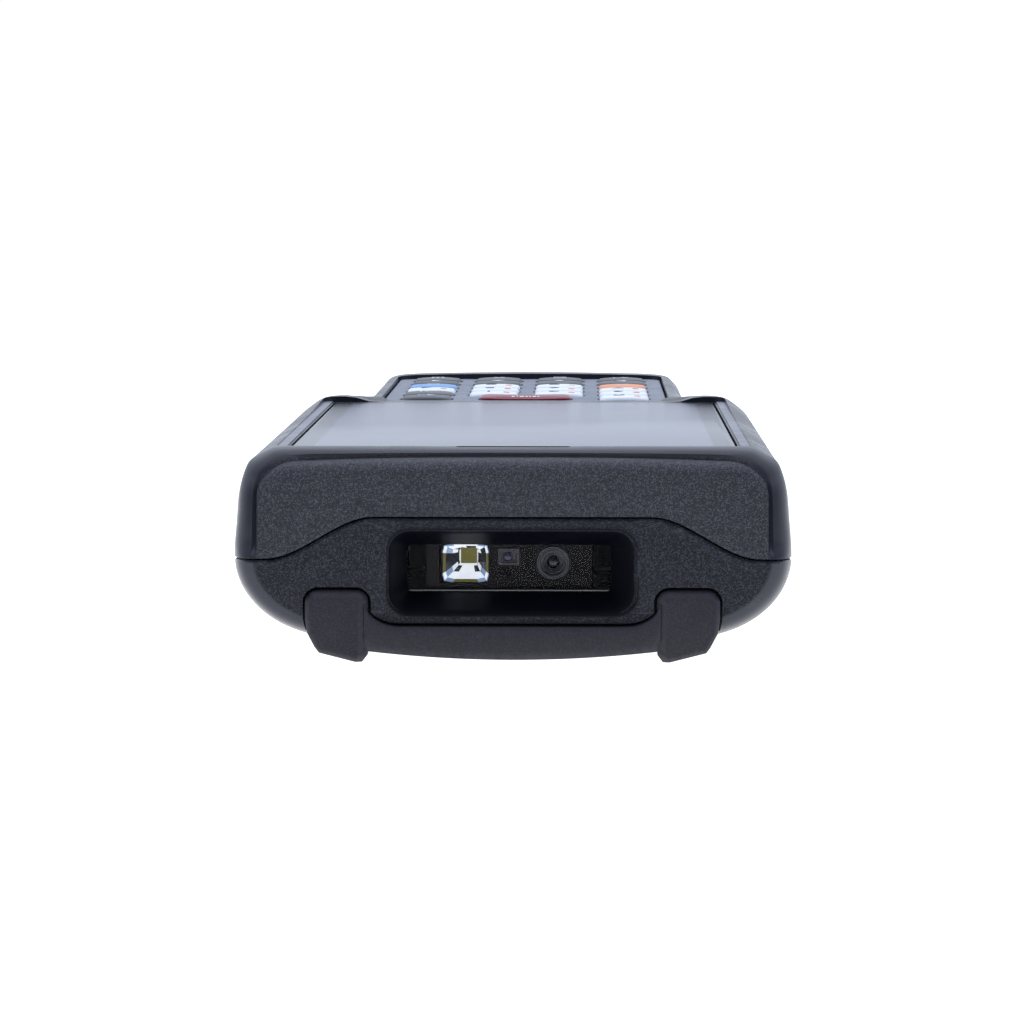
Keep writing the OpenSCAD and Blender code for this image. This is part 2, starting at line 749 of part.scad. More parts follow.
module engine_body() color([0.12, 0.12, 0.14]) {
    difference() {
        block([window_x - engine_w / 2, engine_s, engine_z],
            [window_x + engine_w / 2, engine_s + engine_l, engine_z + engine_h]);
        upright(lens_x, lens_z, lens_w + 0.2, lens_h + 0.2, 0.4, engine_s - 1, engine_s + 3.2);
        upright(aimer_x, aimer_z, aimer_w + 0.1, aimer_h + 0.1, 0.3, engine_s - 1, engine_s + 2);
        barrel_y(aimer_x, 11.7, 0.55, engine_s - 1, engine_s + 1.5);
        barrel_y(imager_x, imager_z, imager_r + 0.05, engine_s - 1, engine_s + 5);
    }
}

module illumination_lens() color([0.9, 0.93, 0.98, 0.5])
    upright(lens_x, lens_z, lens_w, lens_h, 0.3, engine_s - 0.3, engine_s + 2.2);

module illumination_led() color("gold")
    upright(lens_x + 0.55, lens_z + 0.8, 2.4, 2.4, 0.2, engine_s + 2.3, engine_s + 3.2);

module aimer_lens() color([0.3, 0.28, 0.45])
    upright(aimer_x, aimer_z, aimer_w, aimer_h, 0.25, engine_s - 0.2, engine_s + 1.9);

module imager_barrel() color([0.25, 0.26, 0.3]) {
    difference() {
        barrel_y(imager_x, imager_z, imager_r, engine_s - 0.2, engine_s + 4.8);
        barrel_y(imager_x, imager_z, imager_r - 0.5, engine_s - 1, engine_s + 0.6);
        barrel_y(imager_x, imager_z, 1.3, engine_s, engine_s + 4);
    }
}

module imager_lens() color([0.1, 0.12, 0.2]) {
    intersection() {
        barrel_y(imager_x, imager_z, 1.3, engine_s + 0.6, engine_s + 3.5);
        translate([imager_x, along(engine_s) + 2.9, imager_z]) sphere(r = 2, $fn = 48);
    }
}

// ---- sound ----

module earpiece() color([0.15, 0.15, 0.16])
    plate(0, ear_slot_s, 12, 4, 1, frame_top + 0.1, ceiling_z - 0.1);

module earpiece_mesh() color("gray")
    plate(0, ear_slot_s, ear_slot_w, ear_slot_l, 0.5, glass_z - 0.9, glass_z - 0.6);

module loudspeaker() color([0.12, 0.12, 0.12])
    plate(0, speaker_s, speaker_w, speaker_l, 3, base_z + wall + 0.2, base_z + wall + 4.2);

// ---- power and interfaces ----

module battery_pack() color([0.3, 0.32, 0.3])
    block([-battery_w / 2, battery_s, battery_z],
        [battery_w / 2, battery_s + battery_l, battery_z + battery_h]);

module battery_contacts() color("gold") {
    block([-7, battery_s - contact_l - 0.3, battery_z + 1], [7, battery_s - 0.3, battery_z + 5]);
    for (i = [-2 : 2]) block([2.6 * i - 0.6, battery_s - 0.4, battery_z + 2],
        [2.6 * i + 0.6, battery_s, battery_z + 4]);
}

module port_connector() color("silver") {
    difference() {
        upright(0, port_z, port_w, port_h, port_h / 2 - 0.05, cover_s - 8.4, cover_s - 1.4);
        upright(0, port_z, port_w - 0.6, port_h - 0.6, port_h / 2 - 0.4, cover_s - 7.6, cover_s);
    }
    block([-3.3, cover_s - 7.8, port_z - 0.35], [3.3, cover_s - 2.4, port_z + 0.35]);
}

module strap_inserts() color("goldenrod") {
    for (x = [-insert_x, insert_x]) difference() {
        post(x, insert_s, insert_r, base_z, base_z + insert_l);
        post(x, insert_s, insert_bore_r, base_z - 1, base_z + insert_l + 1);
    }
}

// ---- side controls ----

// A long button in the side wall: its face, and a flange behind the wall that holds it in.
module side_button(s, l) {
    sideways(s, side_z, l, trigger_h, 2, flange_x + side_flange_t - eps, side_x);
    sideways(s, side_z, l + 2, trigger_h + 1.6, 2.4, flange_x, flange_x + side_flange_t);
}

module right_trigger() color([0.17, 0.17, 0.19]) side_button(trigger_s, trigger_l);

module left_trigger() color([0.17, 0.17, 0.19]) mirror([1, 0, 0]) side_button(trigger_s, trigger_l);

// The rocker rolls on a round rib behind the middle of its flange.
module volume_rocker() color([0.17, 0.17, 0.19]) mirror([1, 0, 0]) {
    side_button(rocker_s, rocker_l);
    translate([flange_x, along(rocker_s), side_z - trigger_h / 2]) cylinder(r = rocker_rib_r,
        h = trigger_h);
}

// ---- fasteners ----

module housing_screws() color("dimgray") {
    for (p = SCREWS) difference() {
        union() {
            post(p[0], p[1], screw_head_r, screw_seat - 1.6, screw_seat);
            post(p[0], p[1], screw_r - 0.02, screw_seat - eps, post_z + 6);
        }
        translate([p[0], along(p[1]), 0]) cylinder(r = 0.9, h = screw_seat - 0.8, $fn = 6);
    }
}

front_housing();
rear_housing();
housing_seal();
bumper();
grip_foot();
battery_door();
port_cover();
touch_glass();
display_seal();
lcd_module();
mid_frame();
main_board();
board_shields();
keypad_panel();
key_mat();
keypad_board();
key_domes();
key_scan();
scan_window();
window_gasket();
engine_body();
illumination_lens();
illumination_led();
aimer_lens();
imager_barrel();
imager_lens();
earpiece();
earpiece_mesh();
loudspeaker();
battery_pack();
battery_contacts();
port_connector();
strap_inserts();
side_switches();
left_trigger();
right_trigger();
volume_rocker();
housing_screws();
for (k = KEYS)
    color(k[3]) key_piece(key_x(k), key_s(k), key_w);
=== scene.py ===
# %% [markdown]
# # A rugged handheld data terminal
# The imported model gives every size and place. Each new piece is a surface worked out with numpy in
# millimetres, in the model's own frame: X across, Y from the scan end to the keypad end, Z up. It could be
# measured off the model by eye, but reading the model's boxes keeps every piece tied to the design.

# %% Load the frame
import json
import math

import bmesh
import bpy
import numpy as np
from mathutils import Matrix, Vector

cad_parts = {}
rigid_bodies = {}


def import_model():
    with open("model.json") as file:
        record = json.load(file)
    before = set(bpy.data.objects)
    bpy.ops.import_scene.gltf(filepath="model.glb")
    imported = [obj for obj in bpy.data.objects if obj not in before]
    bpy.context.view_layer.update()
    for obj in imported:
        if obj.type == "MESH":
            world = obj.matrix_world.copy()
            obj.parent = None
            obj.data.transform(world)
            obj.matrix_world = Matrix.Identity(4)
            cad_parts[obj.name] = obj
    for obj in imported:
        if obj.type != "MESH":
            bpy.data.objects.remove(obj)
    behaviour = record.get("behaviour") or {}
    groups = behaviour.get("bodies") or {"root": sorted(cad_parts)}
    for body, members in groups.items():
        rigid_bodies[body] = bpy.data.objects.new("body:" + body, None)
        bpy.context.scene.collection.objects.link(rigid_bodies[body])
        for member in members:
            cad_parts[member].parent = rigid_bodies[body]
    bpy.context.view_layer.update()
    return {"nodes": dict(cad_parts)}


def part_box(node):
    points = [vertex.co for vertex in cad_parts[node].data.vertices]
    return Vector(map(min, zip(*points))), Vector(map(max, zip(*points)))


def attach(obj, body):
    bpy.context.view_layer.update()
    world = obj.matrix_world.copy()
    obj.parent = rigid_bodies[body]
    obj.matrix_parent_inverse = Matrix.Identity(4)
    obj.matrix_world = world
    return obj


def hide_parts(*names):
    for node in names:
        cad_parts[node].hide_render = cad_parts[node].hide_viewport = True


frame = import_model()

MM = 0.001


def box_mm(node):
    """Lowest and highest corner of a model node, in millimetres."""
    low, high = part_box(node)
    return np.array(low) / MM, np.array(high) / MM


REAR_LOW, REAR_HIGH = box_mm("rear_housing")
FRONT_LOW, FRONT_HIGH = box_mm("front_housing")
GLASS_LOW, GLASS_HIGH = box_mm("touch_glass")
PANEL_LOW, PANEL_HIGH = box_mm("keypad_panel")
START = REAR_LOW[1]
BODY_L = REAR_HIGH[1] - REAR_LOW[1]
print("body length", round(BODY_L, 2), "width", round(FRONT_HIGH[0] - FRONT_LOW[0], 2))


def along(s):
    """Y of a point s millimetres from the scan end."""
    return START + s


# %% [markdown]
# ## Meshes from grids
# Nearly every piece is a stack of closed loops with the same number of points, as a boat is a stack of
# frames. One helper turns such a stack into a closed mesh, and a boolean carves openings out of it. The
# shapes could be modelled by hand with the same result, but a formula can be read and changed.

# %% Loft, carve and finish
def loft(rings, cyclic=False):
    """Points and faces of a surface through rings (ring, point, xyz). A flat face closes each end unless
    the last ring joins the first, as in a hoop."""
    rings = np.asarray(rings, float)
    rows, cols = rings.shape[:2]
    r, c = np.meshgrid(np.arange(rows if cyclic else rows - 1), np.arange(cols), indexing="ij")
    up, right = (r + 1) % rows, (c + 1) % cols
    quads = np.stack([r * cols + c, r * cols + right, up * cols + right, up * cols + c], -1).reshape(-1, 4)
    ends = [] if cyclic else [list(range(cols)), list(range((rows - 1) * cols, rows * cols))]
    return rings.reshape(-1, 3), quads.tolist() + ends


def raw_object(name, points, faces):
    """A mesh object from points in millimetres, kept at the origin, its faces turned outwards."""
    mesh = bpy.data.meshes.new(name)
    mesh.from_pydata((np.asarray(points) * MM).tolist(), [], faces)
    work = bmesh.new()
    work.from_mesh(mesh)
    bmesh.ops.recalc_face_normals(work, faces=work.faces)
    work.to_mesh(mesh)
    work.free()
    piece = bpy.data.objects.new(name, mesh)
    bpy.context.scene.collection.objects.link(piece)
    return piece


def apply_modifiers(piece):
    """Replace the mesh by what its modifiers make of it."""
    view = bpy.context.evaluated_depsgraph_get()
    mesh = bpy.data.meshes.new_from_object(piece.evaluated_get(view))
    piece.modifiers.clear()
    old, piece.data = piece.data, mesh
    bpy.data.meshes.remove(old)


def carve(piece, cutters, operation="DIFFERENCE"):
    """Cut each closed cutter out of the piece, or with INTERSECT keep what is inside it."""
    for i, shape in enumerate(cutters):
        tool = raw_object(f"cutter_{i}", *shape)
        step = piece.modifiers.new("carve", "BOOLEAN")
        step.operation, step.solver, step.object = operation, "MANIFOLD", tool
    apply_modifiers(piece)
    for tool in [o for o in bpy.data.objects if o.name.startswith("cutter_")]:
        mesh = tool.data
        bpy.data.objects.remove(tool)
        bpy.data.meshes.remove(mesh)


def finish_piece(piece, material, body="housing", replaces=(), sharp=32):
    """Smooth shading broken at real edges, a material, and the body that the piece moves with."""
    mesh = piece.data
    mesh.polygons.foreach_set("use_smooth", np.ones(len(mesh.polygons), bool))
    mesh.set_sharp_from_angle(angle=math.radians(sharp))
    mesh.materials.clear()
    for m in material if isinstance(material, (list, tuple)) else [material]:
        mesh.materials.append(m)
    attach(piece, body)
    if replaces:
        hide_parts(*([replaces] if isinstance(replaces, str) else replaces))
    print(f"{piece.name}: {len(mesh.polygons)} faces")
    return piece


def smooth(t):
    """Soft step from 0 to 1: 3t^2 - 2t^3 with t held between 0 and 1."""
    t = np.clip(t, 0, 1)
    return t * t * (3 - 2 * t)


def rounded(w, h, r, n=8):
    """Rectangle w by h with quarter circles of radius r for corners, as (4(n+1), 2) points."""
    corners = []
    for sx, sy, a in ((1, 1, 0), (-1, 1, 90), (-1, -1, 180), (1, -1, 270)):
        t = np.radians(a + np.linspace(0, 90, n + 1))
        corners.append(np.stack([sx * (w / 2 - r) + r * np.cos(t), sy * (h / 2 - r) + r * np.sin(t)], -1))
    return np.concatenate(corners)


def slab(x, y, w, l, r, z0, z1, n=8):
    """Flat plate with round corners as two rings, its middle at x and y."""
    loop = rounded(w, l, r, n) + [x, y]
    return loft([np.column_stack([loop, np.full(len(loop), z)]) for z in (z0, z1)])


def upright(x, z, w, h, r, y0, y1, n=8):
    """Plate that faces along Y, its middle at x and z."""
    loop = rounded(w, h, r, n) + [x, z]
    return loft([np.insert(loop, 1, y, axis=1) for y in (y0, y1)])


def sideways(y, z, l, h, r, x0, x1, n=8):
    """Plate that faces along X, its middle at y and z."""
    loop = rounded(l, h, r, n) + [y, z]
    return loft([np.insert(loop, 0, x, axis=1) for x in (x0, x1)])

# %% [markdown]
# ## Finishes
# Moulded plastic is never one flat colour. It has a grain from the etched mould, a little unevenness in
# gloss, and dust; glints on its grain and a highlight on its convex edges are painted into the colour.
# Each effect is a node group, built once and placed in every material with its own values, and the
# Principled shader stays in the material. A painted image could hold the same marks, but it would blur
# close up.

# %% Node groups
def group(name, inputs, outputs):
    """Empty shader node group with float inputs {name: default} and outputs [(name, socket type)]."""
    tree = bpy.data.node_groups.new(name, "ShaderNodeTree")
    for key, value in inputs.items():
        tree.interface.new_socket(key, in_out="INPUT", socket_type="NodeSocketFloat").default_value = value
    for key, kind in outputs:
        tree.interface.new_socket(key, in_out="OUTPUT", socket_type=kind)
    return tree, tree.nodes.new("NodeGroupInput"), tree.nodes.new("NodeGroupOutput")


def math_node(tree, operation, a, b=None):
    """Maths node whose inputs are links or numbers."""
    node = tree.nodes.new("ShaderNodeMath")
    node.operation = operation
    for socket, value in zip(node.inputs, (a, b)):
        if value is None:
            continue
        if isinstance(value, (int, float)):
            socket.default_value = value
        else:
            tree.links.new(value, socket)
    return node.outputs[0]


def remap(tree, value, low, high, to_low=0.0, to_high=1.0):
    """Smooth map of value from low..high to to_low..to_high."""
    node = tree.nodes.new("ShaderNodeMapRange")
    node.interpolation_type = "SMOOTHSTEP"
    tree.links.new(value, node.inputs["Value"])
    for key, number in (("From Min", low), ("From Max", high), ("To Min", to_low), ("To Max", to_high)):
        node.inputs[key].default_value = number
    return node.outputs["Result"]


def noise(tree, vector, scale, detail=2.0, rough=0.5):
    """Noise value; scale is per metre and may be a link."""
    node = tree.nodes.new("ShaderNodeTexNoise")
    tree.links.new(vector, node.inputs["Vector"])
    if isinstance(scale, (int, float)):
        node.inputs["Scale"].default_value = scale
    else:
        tree.links.new(scale, node.inputs["Scale"])
    node.inputs["Detail"].default_value = detail
    node.inputs["Roughness"].default_value = rough
    return node.outputs["Fac"]


def make_grain():
    """Etched mould grain: pebbles with noise between them. Height for a bump; sparkle is a random value per
    pebble, which paints glints into the colour, so that some pebbles look lit and their neighbours don't."""
    tree, given, out = group("mould_grain", {"Scale": 2600.0, "Pebbles": 0.6},
                             [("Height", "NodeSocketFloat"), ("Sparkle", "NodeSocketFloat")])
    where = tree.nodes.new("ShaderNodeTexCoord").outputs["Object"]
    cells = tree.nodes.new("ShaderNodeTexVoronoi")
    tree.links.new(where, cells.inputs["Vector"])
    tree.links.new(given.outputs["Scale"], cells.inputs["Scale"])
    fine = noise(tree, where, math_node(tree, "MULTIPLY", given.outputs["Scale"], 0.7), 3, 0.6)
    dome = math_node(tree, "MULTIPLY", math_node(tree, "SUBTRACT", 0.8, cells.outputs["Distance"]),
                     given.outputs["Pebbles"])
    tree.links.new(math_node(tree, "ADD", dome, fine), out.inputs["Height"])
    tree.links.new(remap(tree, cells.outputs["Color"], 0.5, 0.8), out.inputs["Sparkle"])
    return tree


def make_unevenness():
    """Slow change over the surface, for gloss and tone: two sizes of noise added together."""
    tree, given, out = group("gloss_unevenness", {"Scale": 60.0}, [("Value", "NodeSocketFloat")])
    where = tree.nodes.new("ShaderNodeTexCoord").outputs["Object"]
    slow = noise(tree, where, given.outputs["Scale"], 2)
    quick = noise(tree, where, math_node(tree, "MULTIPLY", given.outputs["Scale"], 7.0), 2)
    mixed = math_node(tree, "ADD", math_node(tree, "MULTIPLY", slow, 0.6),
                      math_node(tree, "MULTIPLY", quick, 0.4))
    tree.links.new(remap(tree, mixed, 0.3, 0.7), out.inputs["Value"])
    return tree


def make_edge_wear():
    """Painted highlight on convex edges: the mesh's pointiness above a threshold, broken up by noise."""
    tree, given, out = group("painted_edge_highlight", {"Amount": 0.6, "Threshold": 0.53}, [("Mask", "NodeSocketFloat")])
    where = tree.nodes.new("ShaderNodeTexCoord").outputs["Object"]
    point = tree.nodes.new("ShaderNodeNewGeometry").outputs["Pointiness"]
    above = math_node(tree, "MULTIPLY", math_node(tree, "SUBTRACT", point, given.outputs["Threshold"]), 14.0)
    broken = math_node(tree, "MULTIPLY", above, remap(tree, noise(tree, where, 900.0, 3), 0.3, 0.6, 0.4, 1.0))
    limited = math_node(tree, "MINIMUM", math_node(tree, "MAXIMUM", broken, 0.0), 1.0)
    tree.links.new(math_node(tree, "MULTIPLY", limited, given.outputs["Amount"]), out.inputs["Mask"])
    return tree


def make_dust():
    """Settled dust: small specks that lie only on faces that look up."""
    tree, given, out = group("dust", {"Amount": 0.1}, [("Mask", "NodeSocketFloat")])
    where = tree.nodes.new("ShaderNodeTexCoord").outputs["Object"]
    split = tree.nodes.new("ShaderNodeSeparateXYZ")
    tree.links.new(tree.nodes.new("ShaderNodeNewGeometry").outputs["Normal"], split.inputs[0])
    specks = remap(tree, noise(tree, where, 1500.0, 3, 0.7), 0.62, 0.75)
    up = remap(tree, split.outputs["Z"], 0.3, 0.9)
    tree.links.new(math_node(tree, "MULTIPLY", math_node(tree, "MULTIPLY", specks, up),
                             given.outputs["Amount"]),
                   out.inputs["Mask"])
    return tree


GRAIN, UNEVEN, EDGE_HIGHLIGHT, DUST = make_grain(), make_unevenness(), make_edge_wear(), make_dust()
print("node groups:", [g.name for g in bpy.data.node_groups])

# %% [markdown]
# ### One recipe for the moulded parts
# Plastics, rubbers and painted metals differ in colour, gloss and grain, and not in how they are built up.
# The recipe places the groups, mixes colour from base, painted glints on the grain, a painted highlight
# on convex edges and dust, and feeds the grain to a bump. The housings add a mask, because their ends are
# coarsely etched and their sides are nearly smooth; the smooth sides take a lighter colour, a painted sheen.

# %% The recipe
def mix_colour(tree, factor, a, b):
    """Colour a turning to b by factor; a is a link or a colour."""
    node = tree.nodes.new("ShaderNodeMix")
    node.data_type = "RGBA"
    tree.links.new(factor, node.inputs["Factor"])
    if isinstance(a, tuple):
        node.inputs["A"].default_value = a
    else:
        tree.links.new(a, node.inputs["A"])
    node.inputs["B"].default_value = b
    return node.outputs["Result"]


def place_group(tree, which, **values):
    """A group's node in this material, with its own values."""
    node = tree.nodes.new("ShaderNodeGroup")
    node.node_tree = which
    for key, value in values.items():
        node.inputs[key.replace("_", " ")].default_value = value
    return node


def moulded(name, colour, rough=0.5, grain=0.3, scale=2600.0, sparkle=0.25, edge_highlight=0.35, dust=0.05,
            specular=0.5,
            metallic=0.0, coat=0.0, mask=None, smooth_rough=0.35, smooth_sheen_colour=None):
    """Material of a moulded or painted piece. mask(tree) gives 1 where it is coarse and 0 where smooth; the
    smooth areas take a lighter colour of their own, a painted sheen.
    """
    material = bpy.data.materials.new(name)
    material.use_nodes = True
    tree = material.node_tree
    shader = tree.nodes["Principled BSDF"]
    base = tuple(colour) + (1.0,)
    painted_glint_colour = tuple(min(1.0, c * 3.4 + 0.03) for c in colour) + (1.0,)
    pebbles = place_group(tree, GRAIN, Scale=scale, Pebbles=0.6)
    uneven = place_group(tree, UNEVEN, Scale=55.0)
    coarse = mask(tree) if mask else None
    # Painted glints: the pebbles that the grain's sparkle picks take a lighter copy of the colour, as if they
    # caught the light.
    painted_glints = math_node(tree, "MULTIPLY", pebbles.outputs["Sparkle"], sparkle)
    if coarse is not None:
        painted_glints = math_node(tree, "MULTIPLY", painted_glints, coarse)
    tint = mix_colour(tree, painted_glints, base, painted_glint_colour)
    # Painted sheen: where the surface is smooth it takes a lighter colour than the etched face.
    if coarse is not None and smooth_sheen_colour:
        plain = tuple(smooth_sheen_colour) + (1.0,)
        node = tree.nodes.new("ShaderNodeMix")
        node.data_type = "RGBA"
        tree.links.new(coarse, node.inputs["Factor"])
        node.inputs["A"].default_value = plain
        tree.links.new(tint, node.inputs["B"])
        tint = node.outputs["Result"]
    # Painted highlight: convex edges take a lighter copy of the colour, as if they caught the light.
    highlit_edge = place_group(tree, EDGE_HIGHLIGHT, Amount=edge_highlight)
    tint = mix_colour(tree, highlit_edge.outputs["Mask"], tint,
                      tuple(min(1.0, c * 3 + 0.05) for c in colour) + (1.0,))
    if dust:
        tint = mix_colour(tree, place_group(tree, DUST, Amount=dust).outputs["Mask"], tint,
                          (0.5, 0.48, 0.45, 1.0))
    tree.links.new(tint, shader.inputs["Base Color"])
    gloss = remap(tree, uneven.outputs["Value"], 0.0, 1.0, rough - 0.05, rough + 0.06)
    if coarse is not None:
        gap = math_node(tree, "MULTIPLY", math_node(tree, "SUBTRACT", 1.0, coarse), smooth_rough - rough)
        gloss = math_node(tree, "ADD", gloss, gap)
    tree.links.new(gloss, shader.inputs["Roughness"])
    bump = tree.nodes.new("ShaderNodeBump")
    bump.inputs["Distance"].default_value = 0.00012
    height = pebbles.outputs["Height"]
    if coarse is not None:
        height = math_node(tree, "MULTIPLY", height,
                           math_node(tree, "ADD", math_node(tree, "MULTIPLY", coarse, 0.9), 0.1))
    tree.links.new(height, bump.inputs["Height"])
    bump.inputs["Strength"].default_value = grain
    tree.links.new(bump.outputs["Normal"], shader.inputs["Normal"])
    shader.inputs["Metallic"].default_value = metallic
    shader.inputs["Specular IOR Level"].default_value = specular
    shader.inputs["Coat Weight"].default_value = coat
    return material


def end_mask(tree):
    """The coarse area that is stored on the housings' meshes, 1 on the scan end's face."""
    node = tree.nodes.new("ShaderNodeAttribute")
    node.attribute_name = "coarse"
    return node.outputs["Fac"]


# Painted sheen: the smooth colours are lighter than the etched ends; on the rear housing the lighter colour also
# stands in for the floor's light on the lower band.
HOUSING_FRONT = moulded("housing_front", (0.007, 0.008, 0.014), rough=0.42, grain=1.0, scale=7000,
                        sparkle=1.0,
                        specular=0.36, mask=end_mask, smooth_rough=0.27, smooth_sheen_colour=(0.02, 0.021, 0.031),
                        dust=0.03)
HOUSING_REAR = moulded("housing_rear", (0.002, 0.003, 0.008), rough=0.46, grain=1.0, scale=7000, sparkle=0.9,
                       specular=0.26, mask=end_mask, smooth_rough=0.26, smooth_sheen_colour=(0.04, 0.042, 0.056),
                       dust=0.02)
RUBBER = moulded("bumper_rubber", (0.013, 0.013, 0.02), rough=0.5, grain=0.25, scale=7000, sparkle=0.15,
                 edge_highlight=0.5,
                 specular=0.3)
MOUTH_GLOSS = moulded("mouth_gloss", (0.001, 0.0015, 0.0045), rough=0.42, grain=0.04, sparkle=0.0, edge_highlight=0.0,
                      specular=0.18, dust=0.0)
ENGINE_BLACK = moulded("engine_black", (0.001, 0.001, 0.0025), rough=0.4, grain=0.0, scale=9000, sparkle=0.0,
                       edge_highlight=0.0,
                       specular=0.12, dust=0.0)
PANEL_GREY = moulded("keypad_plastic", (0.11, 0.125, 0.17), rough=0.42, grain=0.4, scale=6000, sparkle=0.08,
                     edge_highlight=0.2)
SIDE_KEY = moulded("side_key", (0.02, 0.02, 0.024), rough=0.6, grain=0.3, scale=4000, sparkle=0.1)
COVER_RUBBER = moulded("cover_rubber", (0.02, 0.02, 0.023), rough=0.66, grain=0.3, scale=4200, sparkle=0.08)
SEAL_RUBBER = moulded("seal_rubber", (0.006, 0.006, 0.007), rough=0.6, grain=0.1, sparkle=0.0)
print("moulded materials:", len(bpy.data.materials))

# %% [markdown]
# ## The outer shape
# Both housings are cut from one body, so that they meet exactly at their seam, as two mouldings from one
# shape do. The body is a loft: a cross-section of straight and elliptic stretches is carried from the scan
# end to the keypad end, narrowing at the neck. At the scan end the rings bend inwards along a profile that
# changes round the section: a lip and a groove at the top, a ridge at the sides, a plain fillet below.

# %% Cross-sections
RIM_Z, BASE_Z, HUMP_Z = FRONT_HIGH[2], REAR_LOW[2], REAR_HIGH[2]
SEAM_GAP = 0.25
SEAM_Z = FRONT_LOW[2] - SEAM_GAP
MID_Z, UPPER_Z = SEAM_Z + 0.3, GLASS_HIGH[2] - 8.7
HEAD_W, GRIP_W = FRONT_HIGH[0] - FRONT_LOW[0], PANEL_HIGH[0] - PANEL_LOW[0] + 10
GLASS_S, GLASS_END = GLASS_LOW[1] - START, GLASS_HIGH[1] - START
PANEL_S, PANEL_END = PANEL_LOW[1] - START, PANEL_HIGH[1] - START
NECK_S, NECK_L, END_L = GLASS_END - 6, 16, 20


def half_section(half_w, lower_rx, upper_rx, rim_x):
    """Right half of a section from the middle of the underside to the middle of the top: a flat, a quarter
    ellipse, a side that leans in a little, 47 degrees of a second ellipse, a bevel and the flat rim."""
    u = np.linspace(0, 1, 8)[:-1]
    flat = np.column_stack([u * (half_w - lower_rx), np.full(7, BASE_Z)])
    a = np.radians(np.linspace(-90, 0, 24))
    lower = np.column_stack([half_w - lower_rx * (1 - np.cos(a)), MID_Z + (MID_Z - BASE_Z) * np.sin(a)])
    u = np.linspace(0, 1, 8)[1:-1]
    side = np.column_stack([half_w - 0.5 * u, MID_Z + (UPPER_Z - MID_Z) * u])
    a = np.radians(np.linspace(0, 47, 16))
    upper = np.column_stack([half_w - 0.5 - upper_rx * (1 - np.cos(a)), UPPER_Z + 10 * np.sin(a)])
    u = np.linspace(0, 1, 9)[1:, None]
    bevel = upper[-1] + ([rim_x, RIM_Z] - upper[-1]) * u
    u = np.linspace(0, 1, 14)[1:] ** 1.6
    rim = np.column_stack([rim_x * (1 - u), np.full(13, RIM_Z)])
    half = np.concatenate([flat, lower, side, upper, bevel, rim])
    for _ in range(3):
        half[1:-1] = (half[:-2] + 2 * half[1:-1] + half[2:]) / 4
    return half


def whole(half):
    """Both halves as one loop."""
    return np.concatenate([half, half[-2:0:-1] * [-1, 1]])


HEAD = whole(half_section(HEAD_W / 2, 15, 5.1, GLASS_HIGH[0] + 2))
GRIP = whole(half_section(GRIP_W / 2, 8, 4, GRIP_W / 2 - 3.4))


def outward(loop):
    """Unit normals of a closed loop of points in a plane, from the chord between each point's neighbours."""
    chord = np.roll(loop, -1, 0) - np.roll(loop, 1, 0)
    normal = np.column_stack([chord[:, 1], -chord[:, 0]])
    return normal / np.linalg.norm(normal, axis=1)[:, None]


HEAD_OUT = outward(HEAD)
PLATE_X, PLATE_Z, CORNER = 35.55, RIM_Z - 1.3, 5.3
STEPS = np.linalg.norm(np.diff(HEAD[:len(HEAD) // 2 + 1], axis=0), axis=1)
PAST_SIDE = np.concatenate([[0], np.cumsum(STEPS * (HEAD[:len(STEPS), 1] > UPPER_Z))])
PAST_SIDE = np.concatenate([PAST_SIDE, PAST_SIDE[-2:0:-1]])
print("section points", len(HEAD), "head", HEAD_W, "grip", GRIP_W, "seam", SEAM_Z)


# %% [markdown]
# ### Along the body
# The grip is narrower than the head, and its rim turns in sooner than its sides do, which leaves a square
# shoulder beside the display. The far end closes along a superellipse, |x|^3 + |y|^3 = 1, flatter than a
# circle, while its top and bottom edges follow ellipses.

# %% Stations
def soft_least(a, b, power=40):
    """The smaller of two positive lengths, with the corner between them rounded off."""
    return (a ** -power + b ** -power) ** (-1 / power)


